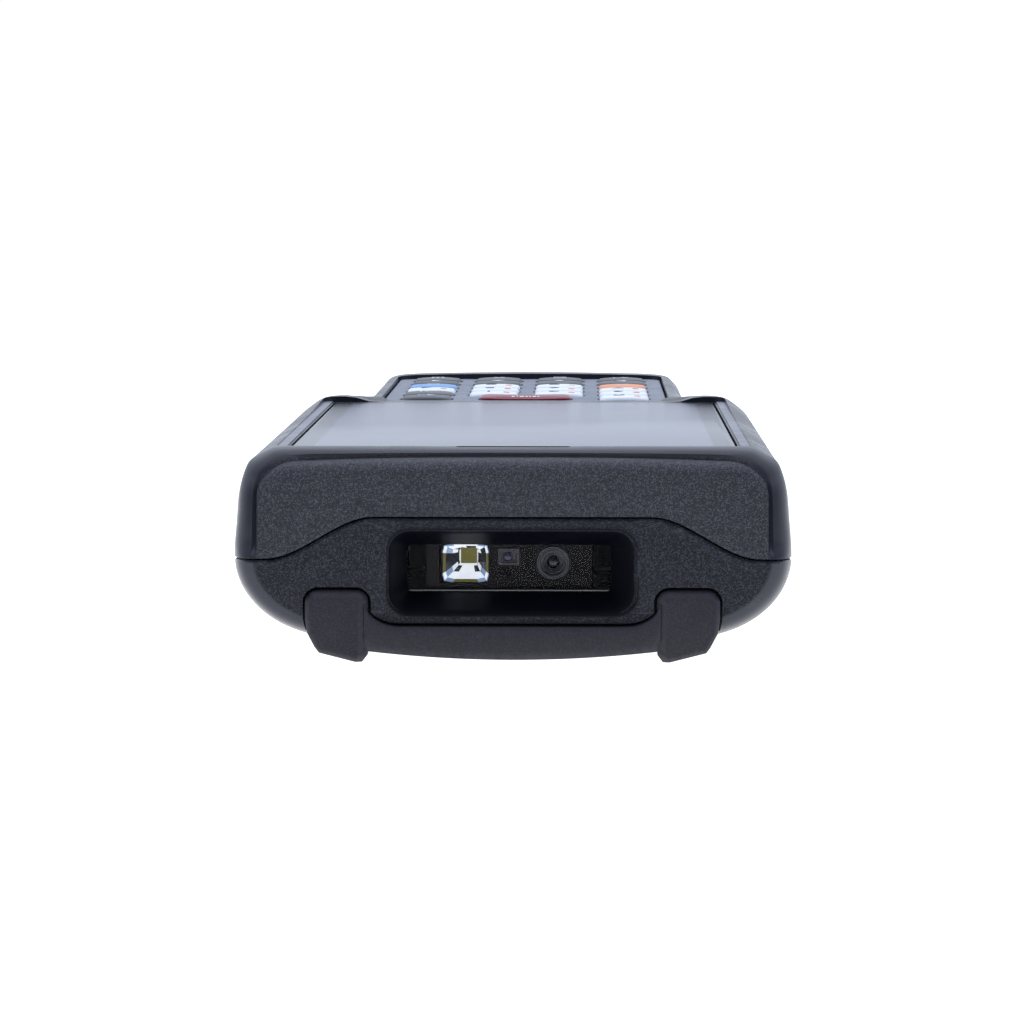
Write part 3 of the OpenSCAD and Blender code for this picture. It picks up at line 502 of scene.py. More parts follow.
def body_rings(stations, inset=0.0, ceiling=None):
    """Section loops at the stations. The head's section is cut off by the narrowing outline as far as the
    neck's end, where it gives way to the grip's; below the middle the two are mixed along the whole neck.
    The far end's curve narrows the loops, and inset draws them in along their normals."""
    s = np.asarray(stations, float)[:, None]
    head_x, grip_x = (loop[:, 0] - inset * HEAD_OUT[:, 0] for loop in (HEAD, GRIP))
    t = smooth((s - NECK_S) / NECK_L)
    outline = HEAD_W / 2 - inset - (HEAD_W - GRIP_W) / 2 * t
    cut = np.sign(head_x) * soft_least(np.maximum(np.abs(head_x), 0.01), outline)
    cut = np.where(np.abs(head_x) < 0.01, head_x, cut)
    high = smooth((HEAD[:, 1] - MID_Z + 1.5) / 3)
    turn = t * (1 - high) + smooth((s - NECK_S - NECK_L + 3.5) / 5.5) * high
    base = cut * high + head_x * (1 - high)
    x = base * (1 - turn) + grip_x * turn
    z = np.broadcast_to(HEAD[:, 1] - inset * HEAD_OUT[:, 1], x.shape).copy()
    tail = np.clip((s - PANEL_END + 3) / (BODY_L - PANEL_END - 1), 0, 1)
    crown = 0.5 * np.sin(np.pi * tail) ** 0.8 * np.clip(1 - (x / 27) ** 2, 0, 1)
    bar = smooth((s - GLASS_END + 1.5) / 1.2) * (1 - smooth((s - PANEL_S - 0.6) / 1.5))
    bar = bar * (1 - smooth((np.abs(x) - 26) / 4))
    shoulder = 0.5 * smooth((s - 70) / 44) * (1 - smooth((s - 121) / 5)) * smooth((np.abs(x) - 25) / 3)
    z += (crown + shoulder - 0.45 * bar) * smooth((HEAD[:, 1] - RIM_Z + 2) / 2)
    far = np.clip((s - BODY_L + END_L) / END_L, 0, 1)
    x = x * (1 - far ** 3) ** (1 / 3)
    top = (RIM_Z - 5 + 5 * np.sqrt(1 - np.clip((s - BODY_L + 4) / 4, 0, 1) ** 2) - SEAM_Z) / (RIM_Z - SEAM_Z)
    low = np.sqrt(1 - np.clip((s - BODY_L + 8) / 8, 0, 1) ** 2)
    z = SEAM_Z + (z - SEAM_Z) * np.where(z > SEAM_Z, top, low)
    if ceiling is not None:
        z = np.minimum(z, ceiling)
    return np.stack([x, np.broadcast_to(along(s), x.shape), z], -1)


def face_station(z):
    """Station of the scan end's face at height z: it leans back above the seam and curves in below it."""
    above = 1.3 * np.clip((z - SEAM_Z) / 11.4, 0, 1) ** 1.6
    below = 3.4 * (1 - np.sqrt(1 - np.clip((SEAM_Z - z) / 12.4, 0, 0.97) ** 2))
    return 0.3 + above + below


def groove_loop():
    """Outline of the end's etched plate: upright sides, quarter ellipses for corners and a top that droops a
    little towards them. Its points match the head section's by their share of the way from the seam to the
    top. Below the seam it is the section drawn in by 3."""
    half = HEAD[:len(STEPS) + 1]
    above = np.concatenate([[0], np.cumsum(STEPS * (half[:-1, 1] > SEAM_Z))])
    a = np.radians(np.linspace(0, 90, 24))
    corner = np.column_stack([PLATE_X - CORNER * (1 - np.cos(a)), PLATE_Z - CORNER * (1 - np.sin(a))])
    path = np.concatenate([[[PLATE_X, SEAM_Z]], corner, [[0, PLATE_Z]]])
    run = np.concatenate([[0], np.cumsum(np.linalg.norm(np.diff(path, axis=0), axis=1))])
    want = above / above[-1] * run[-1]
    loop = whole(np.column_stack([np.interp(want, run, path[:, i]) for i in (0, 1)]))
    loop[:, 1] -= 0.55 * np.clip(np.abs(loop[:, 0]) / 31, 0,
                                 1) ** 2.5 * smooth((loop[:, 1] - PLATE_Z + 5) / 4)
    low = (1 - smooth((HEAD[:, 1] - SEAM_Z - 0.4) / 2.2))[:, None]
    return loop * (1 - low) + (HEAD - 3 * HEAD_OUT) * low


def front_rings():
    """Rings of the scan end. Up to the groove they lie between the head's section and the plate's outline,
    and inside it they are the outline drawn in along its normals. How far, and how deep, comes from three
    profiles, for the top, the upper sides and below, mixed by how far round the section a point lies."""
    u = np.linspace(0, 1, 13)
    quarter, rise = np.radians(90 * u), np.linspace(0, 1, 15)[1:]
    bend = np.radians(90 * rise)
    ridge = 0.35 * np.exp(-(rise / 0.2) ** 2)
    share = [np.concatenate([0.55 * u ** 4, [0.85, 1.18, 1.28, 1.18, 1.0]]),
             np.concatenate([0.8 * (1 - np.cos(quarter)), [0.84, 0.89, 0.94, 0.98, 1.0]]),
             np.concatenate([0.77 * (1 - np.cos(quarter)), np.linspace(0.8, 1, 5)])]
    drawn = [2.65 * (1 - np.cos(bend)), 2.4 * rise ** 1.6, 2 * rise]
    depth = [np.concatenate([6.4 - 3.3 * u, [3.08, 3.0, 2.8, 2.56, 2.42], 2.65 * (1 - np.sin(bend))]),
             np.concatenate([0.5 + 3.8 * (1 - np.sin(quarter)), [0.62, 0.76, 0.84, 0.74, 0.6], ridge]),
             np.concatenate([5.5 * (1 - np.sin(quarter)), np.zeros(5), np.zeros(14)])]
    w_top = smooth((PAST_SIDE - 2) / 13)
    w_low = 1 - smooth((HEAD[:, 1] - SEAM_Z - 0.4) / 2.2)
    weights = (w_top, 1 - w_top - w_low, w_low)
    share, drawn, s = (sum(p[:, None] * w for p, w in zip(profile, weights)) for profile in (share, drawn,
            depth))
    outline = groove_loop()
    outer = HEAD + (outline - HEAD) * share[:, :, None]
    inside = outline - drawn[:, :, None] * outward(outline)
    pole = np.array([0, 12.45])
    rest = inside[-1] + (pole - inside[-1]) * np.array([0.08, 0.2, 0.36, 0.54, 0.72, 0.88])[:, None, None]
    flat = np.concatenate([outer, inside, rest])
    s = np.concatenate([s, np.zeros((6, s.shape[1]))]) + face_station(flat[..., 1])
    return np.stack([flat[..., 0], along(s), flat[..., 1]], -1)


def outer_body():
    """The whole body as one closed loft, from the pole behind the mouth to the far end."""
    v = np.linspace(0, 1, 34)[1:]
    far = BODY_L - END_L * (1 - v) ** 2
    far[-1] = BODY_L - 0.03
    stations = np.concatenate([np.linspace(10.5, 98, 10), np.linspace(99, 127, 40), np.linspace(130, 185, 9),
                               far])
    return loft(np.concatenate([front_rings()[::-1], body_rings(stations)]))


def prism_y(loop, s0, s1):
    """A loop of x and z carried from station s0 to s1."""
    return loft([np.insert(np.asarray(loop, float), 1, along(s), axis=1) for s in (s0, s1)])


def below_seam(rise):
    """Two closed shapes that hold everything under the seam, which rises in an S over the scan mouth."""
    t = np.linspace(0, 1, 25)
    inner = 34.7 / 2 + 2
    slope = np.column_stack([inner + 15 * (1 - t), SEAM_Z + rise + (HUMP_Z - SEAM_Z) * smooth(t)])
    half = np.concatenate([[[HEAD_W, -9], [HEAD_W, SEAM_Z + rise]], slope])
    hump = prism_y(np.concatenate([half, half[::-1] * [-1, 1]]), -5, 9)
    z = SEAM_Z + rise
    rest = prism_y([[-HEAD_W, -9], [HEAD_W, -9], [HEAD_W, z], [-HEAD_W, z]], 8.999, BODY_L + 5)
    return hump, rest


cavity = loft(body_rings(np.concatenate([np.linspace(8.45, 98, 6), np.linspace(100, 126, 12),
                                         np.linspace(130, 197, 8)]), 1.8, RIM_Z - 3))
print("outer body points:", len(outer_body()[0]))

# %% [markdown]
# ### The front housing
# This is the upper moulding: display frame, keypad frame and the plate over the scan mouth. Its openings
# are cut the way the real tool forms them: a ledge for the glass, a window for the display under it, a
# pocket for the keypad and slots for the earpiece and the side buttons.

# %% Front housing
TRIGGER_LOW, TRIGGER_HIGH = box_mm("right_trigger")
ROCKER_LOW, ROCKER_HIGH = box_mm("volume_rocker")
SIDE_Z = (TRIGGER_LOW[2] + TRIGGER_HIGH[2]) / 2
BUTTON_H, BUTTON_GAP = TRIGGER_HIGH[2] - TRIGGER_LOW[2] - 1.6, 0.3
TRIGGER_Y, TRIGGER_L = (TRIGGER_LOW[1] + TRIGGER_HIGH[1]) / 2, TRIGGER_HIGH[1] - TRIGGER_LOW[1] - 2
ROCKER_Y, ROCKER_L = (ROCKER_LOW[1] + ROCKER_HIGH[1]) / 2, ROCKER_HIGH[1] - ROCKER_LOW[1] - 2
MESH_LOW, MESH_HIGH = box_mm("earpiece_mesh")
GLASS_Y, PANEL_Y = (GLASS_LOW[1] + GLASS_HIGH[1]) / 2, (PANEL_LOW[1] + PANEL_HIGH[1]) / 2
GLASS_W, GLASS_L = GLASS_HIGH[0] * 2, GLASS_END - GLASS_S
PANEL_W, PANEL_L = PANEL_HIGH[0] * 2, PANEL_END - PANEL_S


def button_slot(y, l, side):
    """Slot for a side button, through the wall on the +X or the -X side."""
    x = sorted([side * (HEAD_W / 2 - 4.5), side * (HEAD_W / 2 + 2)])
    return sideways(y, SIDE_Z, l + 2 * BUTTON_GAP, BUTTON_H + 2 * BUTTON_GAP, 2.2, *x)


def make_front_shell():
    piece = raw_object("front_shell", *outer_body())
    carve(piece, [*below_seam(SEAM_GAP), cavity])
    carve(piece, [slab(0, GLASS_Y + 0.3, GLASS_W + 3.8, GLASS_L + 0.6, 2.5, GLASS_HIGH[2] - 0.03, RIM_Z + 3),
                  slab(0, GLASS_Y, GLASS_W + 2 * SEAM_GAP, GLASS_L + 2 * SEAM_GAP, 3, RIM_Z - 1.9, RIM_Z + 3),
                  slab(0, GLASS_Y, GLASS_W - 4.4, GLASS_L - 4.4, 1, RIM_Z - 5, RIM_Z + 2),
                  slab(0, PANEL_Y, PANEL_W + 2 * SEAM_GAP, PANEL_L + 2 * SEAM_GAP, 4, PANEL_LOW[2],
                       RIM_Z + 3),
                  slab(0, PANEL_Y, PANEL_W - 3, PANEL_L - 3, 3, RIM_Z - 5, RIM_Z + 2)])
    carve(piece, [slab(0, (MESH_LOW[1] + MESH_HIGH[1]) / 2, 16, 1.1, 0.5, RIM_Z - 3.4, RIM_Z + 3),
                  slab(0, (MESH_LOW[1] + MESH_HIGH[1]) / 2, 12.4, 4.4, 1, RIM_Z - 5.6, RIM_Z - 3),
                  button_slot(TRIGGER_Y, TRIGGER_L, 1), button_slot(TRIGGER_Y, TRIGGER_L, -1),
                  button_slot(ROCKER_Y, ROCKER_L, -1)])
    mark_coarse(piece)
    return finish_piece(piece, HOUSING_FRONT, replaces="front_housing")


def mark_coarse(piece):
    """Store where the mould is etched coarsely: 1 on the end's face inside its groove, 0 elsewhere. Above
    the seam that area ends at the plate's outline, and below it at a quarter ellipse inside the section."""
    count = len(piece.data.vertices)
    at = np.empty(count * 3)
    piece.data.vertices.foreach_get("co", at)
    x, y, z = at.reshape(-1, 3).T / MM
    x = np.abs(x)
    upper = np.hypot(np.maximum(x - PLATE_X + CORNER, 0), np.maximum(z - PLATE_Z + CORNER, 0)) / CORNER
    lower = np.hypot(np.maximum(x - 24, 0) / 12.0, np.maximum(MID_Z - z, 0) / 9.2)
    edge = np.where(z > SEAM_Z, upper, lower)
    coarse = (1 - smooth((edge - 0.97) / 0.05)) * (y - START < 8.2)
    piece.data.attributes.new("coarse", "FLOAT", "POINT").data.foreach_set("value", coarse)


make_front_shell()


def make_side_strips():
    """Glossy strips that trim the rim beside the glass, sunk level with it. Their colour is lighter than the
    housing's: a painted sheen for the light that they reflect.
    """
    material = moulded("side_strip_painted_sheen", (0.055, 0.06, 0.085), rough=0.3, grain=0.1, scale=5000, sparkle=0.05,
                       specular=0.7)
    for side, label in ((1, "strip_right"), (-1, "strip_left")):
        x = side * (GLASS_W / 2 + 1.22)
        parts = [slab(x, GLASS_Y, 1.36, GLASS_L - 1, 0.5, GLASS_HIGH[2] - 0.3, GLASS_HIGH[2] + 0.16)]
        finish_piece(raw_object(label, *parts[0]), material)


make_side_strips()

# %% [markdown]
# ### The rear housing
# The lower moulding carries the scan mouth, the rubber claws and, underneath, the battery door, the foot,
# the screws and the strap inserts. Its upper edge has a small bevel, which catches the light as a bright
# line under the dark seam. The bevel is cut with a thin hoop of triangular section that follows the seam.

# %% The seam's path and its bevel
def seam_path():
    """Points of the seam round the body with their outward directions: along the far end and the sides
    they follow the widest section point, and across the face the S of the hump."""
    t = np.linspace(0, 1, 40)
    inner = 34.7 / 2 + 2
    x = np.concatenate([np.linspace(35.4, 34.4, 3)[:-1], inner + 15 * (1 - t), np.linspace(inner, 0, 12)[1:]])
    z = SEAM_Z + (HUMP_Z - SEAM_Z) * smooth((inner + 15 - x) / 15)
    face = np.column_stack([x, face_station(z), z])
    a = np.radians(np.linspace(90, 3, 16))
    corner = np.column_stack([HEAD_W / 2 - 2.3 * (1 - np.cos(a)), 0.3 + 3.0 * (1 - np.sin(a)),
                              np.full(16, SEAM_Z)])
    corner = corner[corner[:, 0] > 36.8]
    stations = np.concatenate([[6, 40, 80, 98], np.linspace(101, 125.5, 26), [130, 160, 184],
                               BODY_L - END_L * (1 - np.linspace(0.03, 0.985, 30)) ** 2])
    widest = np.abs(body_rings(stations)[..., 0]).max(1)
    side = np.column_stack([widest, stations, np.full(len(stations), SEAM_Z)])
    half = np.concatenate([face[::-1], corner, side])
    path = np.concatenate([half, (half * [-1, 1, 1])[:0:-1]])
    path[:, 1] = along(path[:, 1])
    out = np.roll(path, -1, 0) - np.roll(path, 1, 0)
    out = np.column_stack([out[:, 1], -out[:, 0]])
    return path, out / np.maximum(np.linalg.norm(out, axis=1), 1e-9)[:, None]


def bevel_hoop(size=0.42):
    """Closed hoop whose triangle takes the corner off below the seam: its three corners lie below the
    seam on the wall, on the seam inside the wall, and clear of both outside."""
    path, out = seam_path()
    up = np.zeros_like(path)
    up[:, 2] = 1
    across = np.column_stack([out, np.zeros(len(out))])
    slope = np.gradient(path[:, 2]) / np.maximum(np.abs(np.gradient(path[:, 0])), 1e-6)
    lean = np.clip(slope, -0.8, 0.8) * (np.abs(path[:, 0]) < 35) * np.sign(np.gradient(path[:, 0]))
    up[:, 0] = -lean
    up /= np.linalg.norm(up, axis=1)[:, None]
    corners = [path - size * up + 0.06 * across, path - size * across + 0.06 * up,
               path + size * (across + up)]
    return loft(np.stack(corners, 1), cyclic=True)


# %% Rear housing
DOOR_LOW, DOOR_HIGH = box_mm("battery_door")
FOOT_LOW, FOOT_HIGH = box_mm("grip_foot")
COVER_LOW, COVER_HIGH = box_mm("port_cover")
BATTERY_LOW, BATTERY_HIGH = box_mm("battery_pack")
MOUTH_W, MOUTH_H, MOUTH_Z, MOUTH_D = 34.7, 11.9, 12.45, 6.0
WINDOW_W, WINDOW_H, WINDOW_X, WINDOW_Z = 28.6, 6.7, -0.58, 12.55
SCREW_SEAT, HEAD_BOSS_LOW = 8.3, 8.0
SCREW_PLACES = [(x, s) for x, s in ((HEAD_W / 2 - 6, 24), (HEAD_W / 2 - 6, GLASS_END - 17),
                                    (GRIP_W / 2 - 9, BODY_L - 8.6))]
CLAW_X, CLAW_W, CLAW_H, CLAW_R = 20.0, 8.8, 10.1, 1.8


def mouth_loop(t, grow=0.0):
    """Loop of x and z in the mouth: at t = 0 its opening, at t = 1 the window, both rounded rectangles."""
    w, h = MOUTH_W + (WINDOW_W - MOUTH_W) * t + 2 * grow, MOUTH_H + (WINDOW_H - MOUTH_H) * t + 2 * grow
    loop = rounded(w, h, 3.0 + (0.9 - 3.0) * t + grow)
    return loop + [WINDOW_X * t, MOUTH_Z + (WINDOW_Z - MOUTH_Z) * t]


def cylinder(x, s, r, z0, z1, n=32):
    """Upright round bar."""
    a = np.linspace(0, 2 * np.pi, n, endpoint=False)
    loop = np.column_stack([x + r * np.cos(a), along(s) + r * np.sin(a)])
    return loft([np.column_stack([loop, np.full(n, z)]) for z in (z0, z1)])


def claw_loop(grow=0.0, side=1):
    """Outline of a claw seen from the scan end: round upper corners, a slanting tread and a clipped toe."""
    a, b = np.radians(np.linspace(0, 90, 9)), np.radians(np.linspace(90, 180, 9))
    x0, x1, r = CLAW_X - grow, CLAW_X + CLAW_W + grow, CLAW_R + grow
    top = CLAW_H + grow
    loop = np.concatenate([
        [[x0 + 0.15, 0.95 - grow], [CLAW_X + 0.9, -grow], [CLAW_X + 1.8, -grow], [x1 - 1.9, 1.3 - grow]],
        [[x1 - 1.3, 2.1 - grow], [x1 - 0.3, 4.0], [x1, 6.0]],
        np.column_stack([x1 - r + r * np.cos(a), top - r + r * np.sin(a)]),
        np.column_stack([x0 + r + r * np.cos(b), top - r + r * np.sin(b)])])
    return loop * [side, 1]


def arc_top(x):
    """Height of the arc lip's upper edge at x: level in the middle, rising beside the claws."""
    t = np.clip((np.abs(x) - 15.8) / 4.8, 0, 0.995)
    return 5.0 + 3.7 * (1 - np.sqrt(1 - t ** 2))


def arc_low(x):
    """Height of the arc lip's lower edge."""
    return 0.3 + 1.2 * (np.abs(x) / 20.5) ** 2


def arc_pocket(grow):
    """Groove round the arc lip in the housing."""
    x = np.linspace(-21.2, 21.2, 61)
    top, low = np.column_stack([x, arc_top(x) + grow]), np.column_stack([x, np.full(61, -2.0)])
    return prism_y(np.concatenate([low, top[::-1]]), -2, 3.0)


def make_rear_shell():
    piece = raw_object("rear_shell", *outer_body())
    above = [prism_y([[-HEAD_W, SEAM_Z], [HEAD_W, SEAM_Z], [HEAD_W, RIM_Z + 5], [-HEAD_W, RIM_Z + 5]], 9,
                     BODY_L + 5)]
    t = np.linspace(0, 1, 25)
    inner = MOUTH_W / 2 + 2
    slope = np.column_stack([inner + 15 * (1 - t), SEAM_Z + (HUMP_Z - SEAM_Z) * smooth(t)])
    half = np.concatenate([[[HEAD_W, RIM_Z + 5], [HEAD_W, SEAM_Z]], slope])
    above.append(prism_y(np.concatenate([half, half[::-1] * [-1, 1]]), -5, 9.001))
    carve(piece, [*above, cavity])
    bosses = [cylinder(side * x, s, 3, HEAD_BOSS_LOW if x > 30 else BASE_Z + 0.6, SEAM_Z - 0.05)
              for x, s in SCREW_PLACES for side in (1, -1)]
    bosses += [cylinder(side * 15, 92, 3.5, BASE_Z + 0.6, BASE_Z + 6.7) for side in (1, -1)]
    carve(piece, bosses, "UNION")
    mouth = loft([np.insert(mouth_loop(u, 0.2), 1, along(MOUTH_D * u), axis=1) for u in (-0.5, 1.0)])
    tunnel = upright(WINDOW_X, WINDOW_Z, WINDOW_W + 2, WINDOW_H + 2, 0.8, along(MOUTH_D - 0.1), along(9))
    pockets = [prism_y(claw_loop(0.35, side), -2, 3.0) for side in (1, -1)]
    carve(piece, [mouth, tunnel, *pockets, arc_pocket(0.35)])
    under = []
    for side in (1, -1):
        under.append(slab(side * 24, along(8.6), 6.4, 17.2, 1.2, -2, BASE_Z + 0.6))
    carve(piece, under)
    carve(piece, [slab(0, along(6.2), 42, 12.2, 1, -2, BASE_Z + 0.6)])
    door_y, door_l = (DOOR_LOW[1] + DOOR_HIGH[1] + 5) / 2, DOOR_HIGH[1] - DOOR_LOW[1] + 5.6
    carve(piece, [slab(0, door_y, 39.6, door_l, 1.5, -2, BASE_Z + 1.7),
                  slab(0, (BATTERY_LOW[1] + BATTERY_HIGH[1]) / 2, 34.6, 58, 1, BASE_Z, BATTERY_HIGH[2] - 1)])
    carve(piece, [slab(0, (FOOT_LOW[1] + FOOT_HIGH[1]) / 2, 26.3, 8.3, 3, -2, BASE_Z + 0.6)])
    holes = [cylinder(side * x, s, 2.2, -2, SCREW_SEAT) for x, s in SCREW_PLACES for side in (1, -1)]
    holes += [cylinder(side * 15, 92, 2.35, -2, BASE_Z + 5.5) for side in (1, -1)]
    carve(piece, holes)
    carve(piece, [slab(3.2 * i, along(62), 1.2, 9, 0.55, -2, BASE_Z + 2.8) for i in range(-2, 3)])
    port_z = (COVER_LOW[2] + COVER_HIGH[2]) / 2
    carve(piece, [upright(0, port_z - 0.1, 16.6, COVER_HIGH[2] - COVER_LOW[2] + 1, 1, along(BODY_L - 3.6),
                          along(BODY_L + 4)),
                  upright(0, 9.0, 9.4, 3.6, 1.7, along(BODY_L - 11), along(BODY_L))])
    carve(piece, [bevel_hoop()])
    mark_coarse(piece)
    return finish_piece(piece, HOUSING_REAR, replaces="rear_housing")


make_rear_shell()

# %% [markdown]
# ### The scan mouth
# The mouth is a funnel with mirror-smooth walls, so that stray light isn't thrown back into the camera. Its
# walls are a loft of rounded rectangles that shrink towards the window. It has a real thickness, with a small
# rolled edge at the opening, so that it reads as the moulded shroud that it is.

# %% Mouth walls
def make_mouth_walls():
    """Hoop of loops: out over a rolled edge, in along the funnel, and back behind it."""
    roll = np.radians(np.linspace(180, 0, 7))
    loops = [np.insert(mouth_loop(0, 0.1 + 0.1 * math.cos(math.pi - a)), 1, along(0.4 - 0.06 * math.sin(a)),
                       axis=1)
             for a in roll[::-1]]
    inner = [np.insert(mouth_loop(u), 1, along(0.35 + (MOUTH_D - 0.35) * u), axis=1) for u in np.linspace(0,
            1, 8)[1:]]
    back = [np.insert(mouth_loop(u, 0.18), 1, along(0.35 + (MOUTH_D - 0.35) * u), axis=1) for u in (1.0, 0.5,
            0.05)]
    piece = raw_object("mouth_walls", *loft(np.array(loops + inner + back), cyclic=True))
    return finish_piece(piece, MOUTH_GLOSS, sharp=50)


make_mouth_walls()

# %% [markdown]
# ### Rubber claws, arc lip and foot
# The bumper grips the table and guards the window. It is one rubber moulding: two claws with a wide chamfer
# on their upper and inner sides, an arc lip between them, and runners underneath. The chamfer comes from
# drawing each point of the outline inwards by its own amount on the first ring.

# %% Bumper
def make_bumper():
    parts = []
    for side in (1, -1):
        loop = claw_loop(0, side)
        out = outward(loop) * side
        x = np.abs(loop[:, 0])
        wide = 0.45 + 0.7 * np.maximum(smooth((loop[:, 1] - 8.2) / 1.2), smooth((CLAW_X + 1.6 - x) / 1.2))
        front = loop - out * wide[:, None]
        half = loop - out * (wide * 0.1)[:, None]
        rings = [(front - out * 0.25, 0.0), (front, 0.05), (half, wide * 0.75), (loop, wide * 0.95),
                 (loop, 3.4)]
        parts.append(loft([np.insert(r, 1, along(np.broadcast_to(s, len(r))), axis=1) for r, s in rings]))
    claws = raw_object("rubber_bumper", *parts[0])
    x = np.linspace(-20.6, 20.6, 64)[:, None]
    r = 0.55
    a = np.radians(np.linspace(180, 90, 7))
    s = np.concatenate([[0.75, 0.45, 0.4], 0.4 + r * (1 + np.cos(a)), [3.2, 3.2]])
    up = np.concatenate([[0, 0.25], [0.6], np.full(7, 1.0), [1.0, 0.0]])
    drop = np.concatenate([[0, 0, 0], r * (1 - np.sin(a)), [0, 0]])
    z = arc_low(x) + (arc_top(x) - arc_low(x)) * up - drop
    lip = loft(np.stack([np.broadcast_to(x, z.shape), np.broadcast_to(along(s), z.shape), z], -1))
    plate = slab(0, along(6.4), 41, 11.2, 1, 1.5, BASE_Z + 0.5)
    runners = []
    for side in (1, -1):
        u = np.linspace(0, 1, 9)
        widths, tops = 5.6 - 0.8 * u ** 3, np.full(9, BASE_Z + 0.5)
        low = 1.5 + 0.7 * u ** 4
        rings = []
        for k in range(9):
            loop = rounded(widths[k], tops[k] - low[k] + 0.4, 0.35, 4) + [side * 24,
                    (tops[k] + low[k] + 0.2) / 2]
            rings.append(np.insert(loop, 1, along(1.5 + 14.5 * u[k]), axis=1))
        runners.append(loft(rings))
    carve(claws, [parts[1], lip, plate, *runners], "UNION")
    return finish_piece(claws, RUBBER, replaces="bumper")


make_bumper()


def make_foot():
    """Rubber foot: a pill-shaped pad whose lower edge is rolled, with two grooves across it."""
    y, w, l = (FOOT_LOW[1] + FOOT_HIGH[1]) / 2, FOOT_HIGH[0] * 2, FOOT_HIGH[1] - FOOT_LOW[1]
    a = np.radians(np.linspace(0, 90, 6))
    insets, heights = 0.8 * (1 - np.sin(a)), 0.8 * (1 - np.cos(a))
    loops = [np.column_stack([rounded(w - 2 * d, l - 2 * d, 3 - d) + [0, y], np.full(36, z)])
             for d, z in zip(insets, heights)]
    loops.append(np.column_stack([rounded(w, l, 3) + [0, y], np.full(36, FOOT_HIGH[2])]))
    piece = raw_object("rubber_foot", *loft(loops))
    carve(piece, [slab(0, y + off, w + 2, 0.7, 0.2, -1, 0.5) for off in (-1.6, 1.6)])
    return finish_piece(piece, RUBBER, replaces="grip_foot")


make_foot()

# %% [markdown]
# ## Display
# The cover glass is one sheet with a ground edge, printed black round its border. Switched off, the display
# under it is a dark grey that is hardly lighter than the border. At a shallow angle the glass turns into a
# mirror, which the shader's own Fresnel reflection gives, so nothing is painted on it.

# %% Cover glass
def make_glass_material():
    """Satin sheet; the active area is a rounded box in Object coordinates, lighter and bluer than its border."""
    material = bpy.data.materials.new("display_glass")
    material.use_nodes = True
    tree = material.node_tree
    shader = tree.nodes["Principled BSDF"]
    place = tree.nodes.new("ShaderNodeSeparateXYZ")
    tree.links.new(tree.nodes.new("ShaderNodeTexCoord").outputs["Object"], place.inputs[0])
    across = remap(tree, math_node(tree, "ABSOLUTE", place.outputs["X"]), 0.02825, 0.02835, 1.0, 0.0)
    mid = math_node(tree, "SUBTRACT", place.outputs["Y"], GLASS_Y * MM)
    up = remap(tree, math_node(tree, "ABSOLUTE", mid), 0.0506, 0.0507, 1.0, 0.0)
    active = math_node(tree, "MULTIPLY", across, up)
    tint = mix_colour(tree, active, (0.03, 0.033, 0.045, 1.0), (0.1, 0.112, 0.16, 1.0))
    dust = place_group(tree, DUST, Amount=0.05)
    tree.links.new(mix_colour(tree, dust.outputs["Mask"], tint, (0.5, 0.5, 0.5, 1.0)),
                   shader.inputs["Base Color"])
    smear = place_group(tree, UNEVEN, Scale=38.0)
    tree.links.new(remap(tree, smear.outputs["Value"], 0.0, 1.0, 0.16, 0.17), shader.inputs["Roughness"])
    shader.inputs["IOR"].default_value = 1.5
    shader.inputs["Specular Tint"].default_value = (0.86, 0.9, 1.0, 1.0)
    return material


def make_glass():
    """Slab whose upper edge is a quarter circle of 0.3."""
    a = np.radians(np.linspace(0, 90, 6))
    low, high = GLASS_LOW[2], GLASS_HIGH[2]
    rings = [(0.12, low), (0, low + 0.12)] + [(0.3 * (1 - math.cos(b)),
                                               high - 0.3 * (1 - math.sin(b))) for b in a]
    loops = [np.column_stack([rounded(GLASS_W - 2 * d, GLASS_L - 2 * d, 2.75 - d, 10) + [0, GLASS_Y],
                              np.full(44, z)])
             for d, z in rings]
    piece = raw_object("cover_glass", *loft(loops))
    return finish_piece(piece, make_glass_material(), replaces="touch_glass", sharp=40)


make_glass()

# %% [markdown]
# ## Keypad
# The keypad plate is a moulded frame with a fine dotted texture, one hole for each key and a soft edge round
# each hole. Each key cap is a loft of superellipse loops, |x|^n + |y|^n = 1 with n near 5, which is how a
# moulded key looks: flat sides, full corners and a crowned top. The caps could be bevelled boxes, but a
# bevelled box has flat tops, and keys catch light in a soft spot on their crown.

# %% Keypad plate
KEY_NODES = [n for n in frame["nodes"] if n.startswith("key_") and n not in ("key_mat", "key_domes")]
KEY_BOXES = {n: box_mm(n) for n in KEY_NODES}
FLANGE = 0.5


def cap_size(name):
    """Middle, width and length of a key's cap; the box is that of the wider flange under it."""
    low, high = KEY_BOXES[name]
    return (low[:2] + high[:2]) / 2, high[0] - low[0] - 2 * FLANGE, high[1] - low[1] - 2 * FLANGE


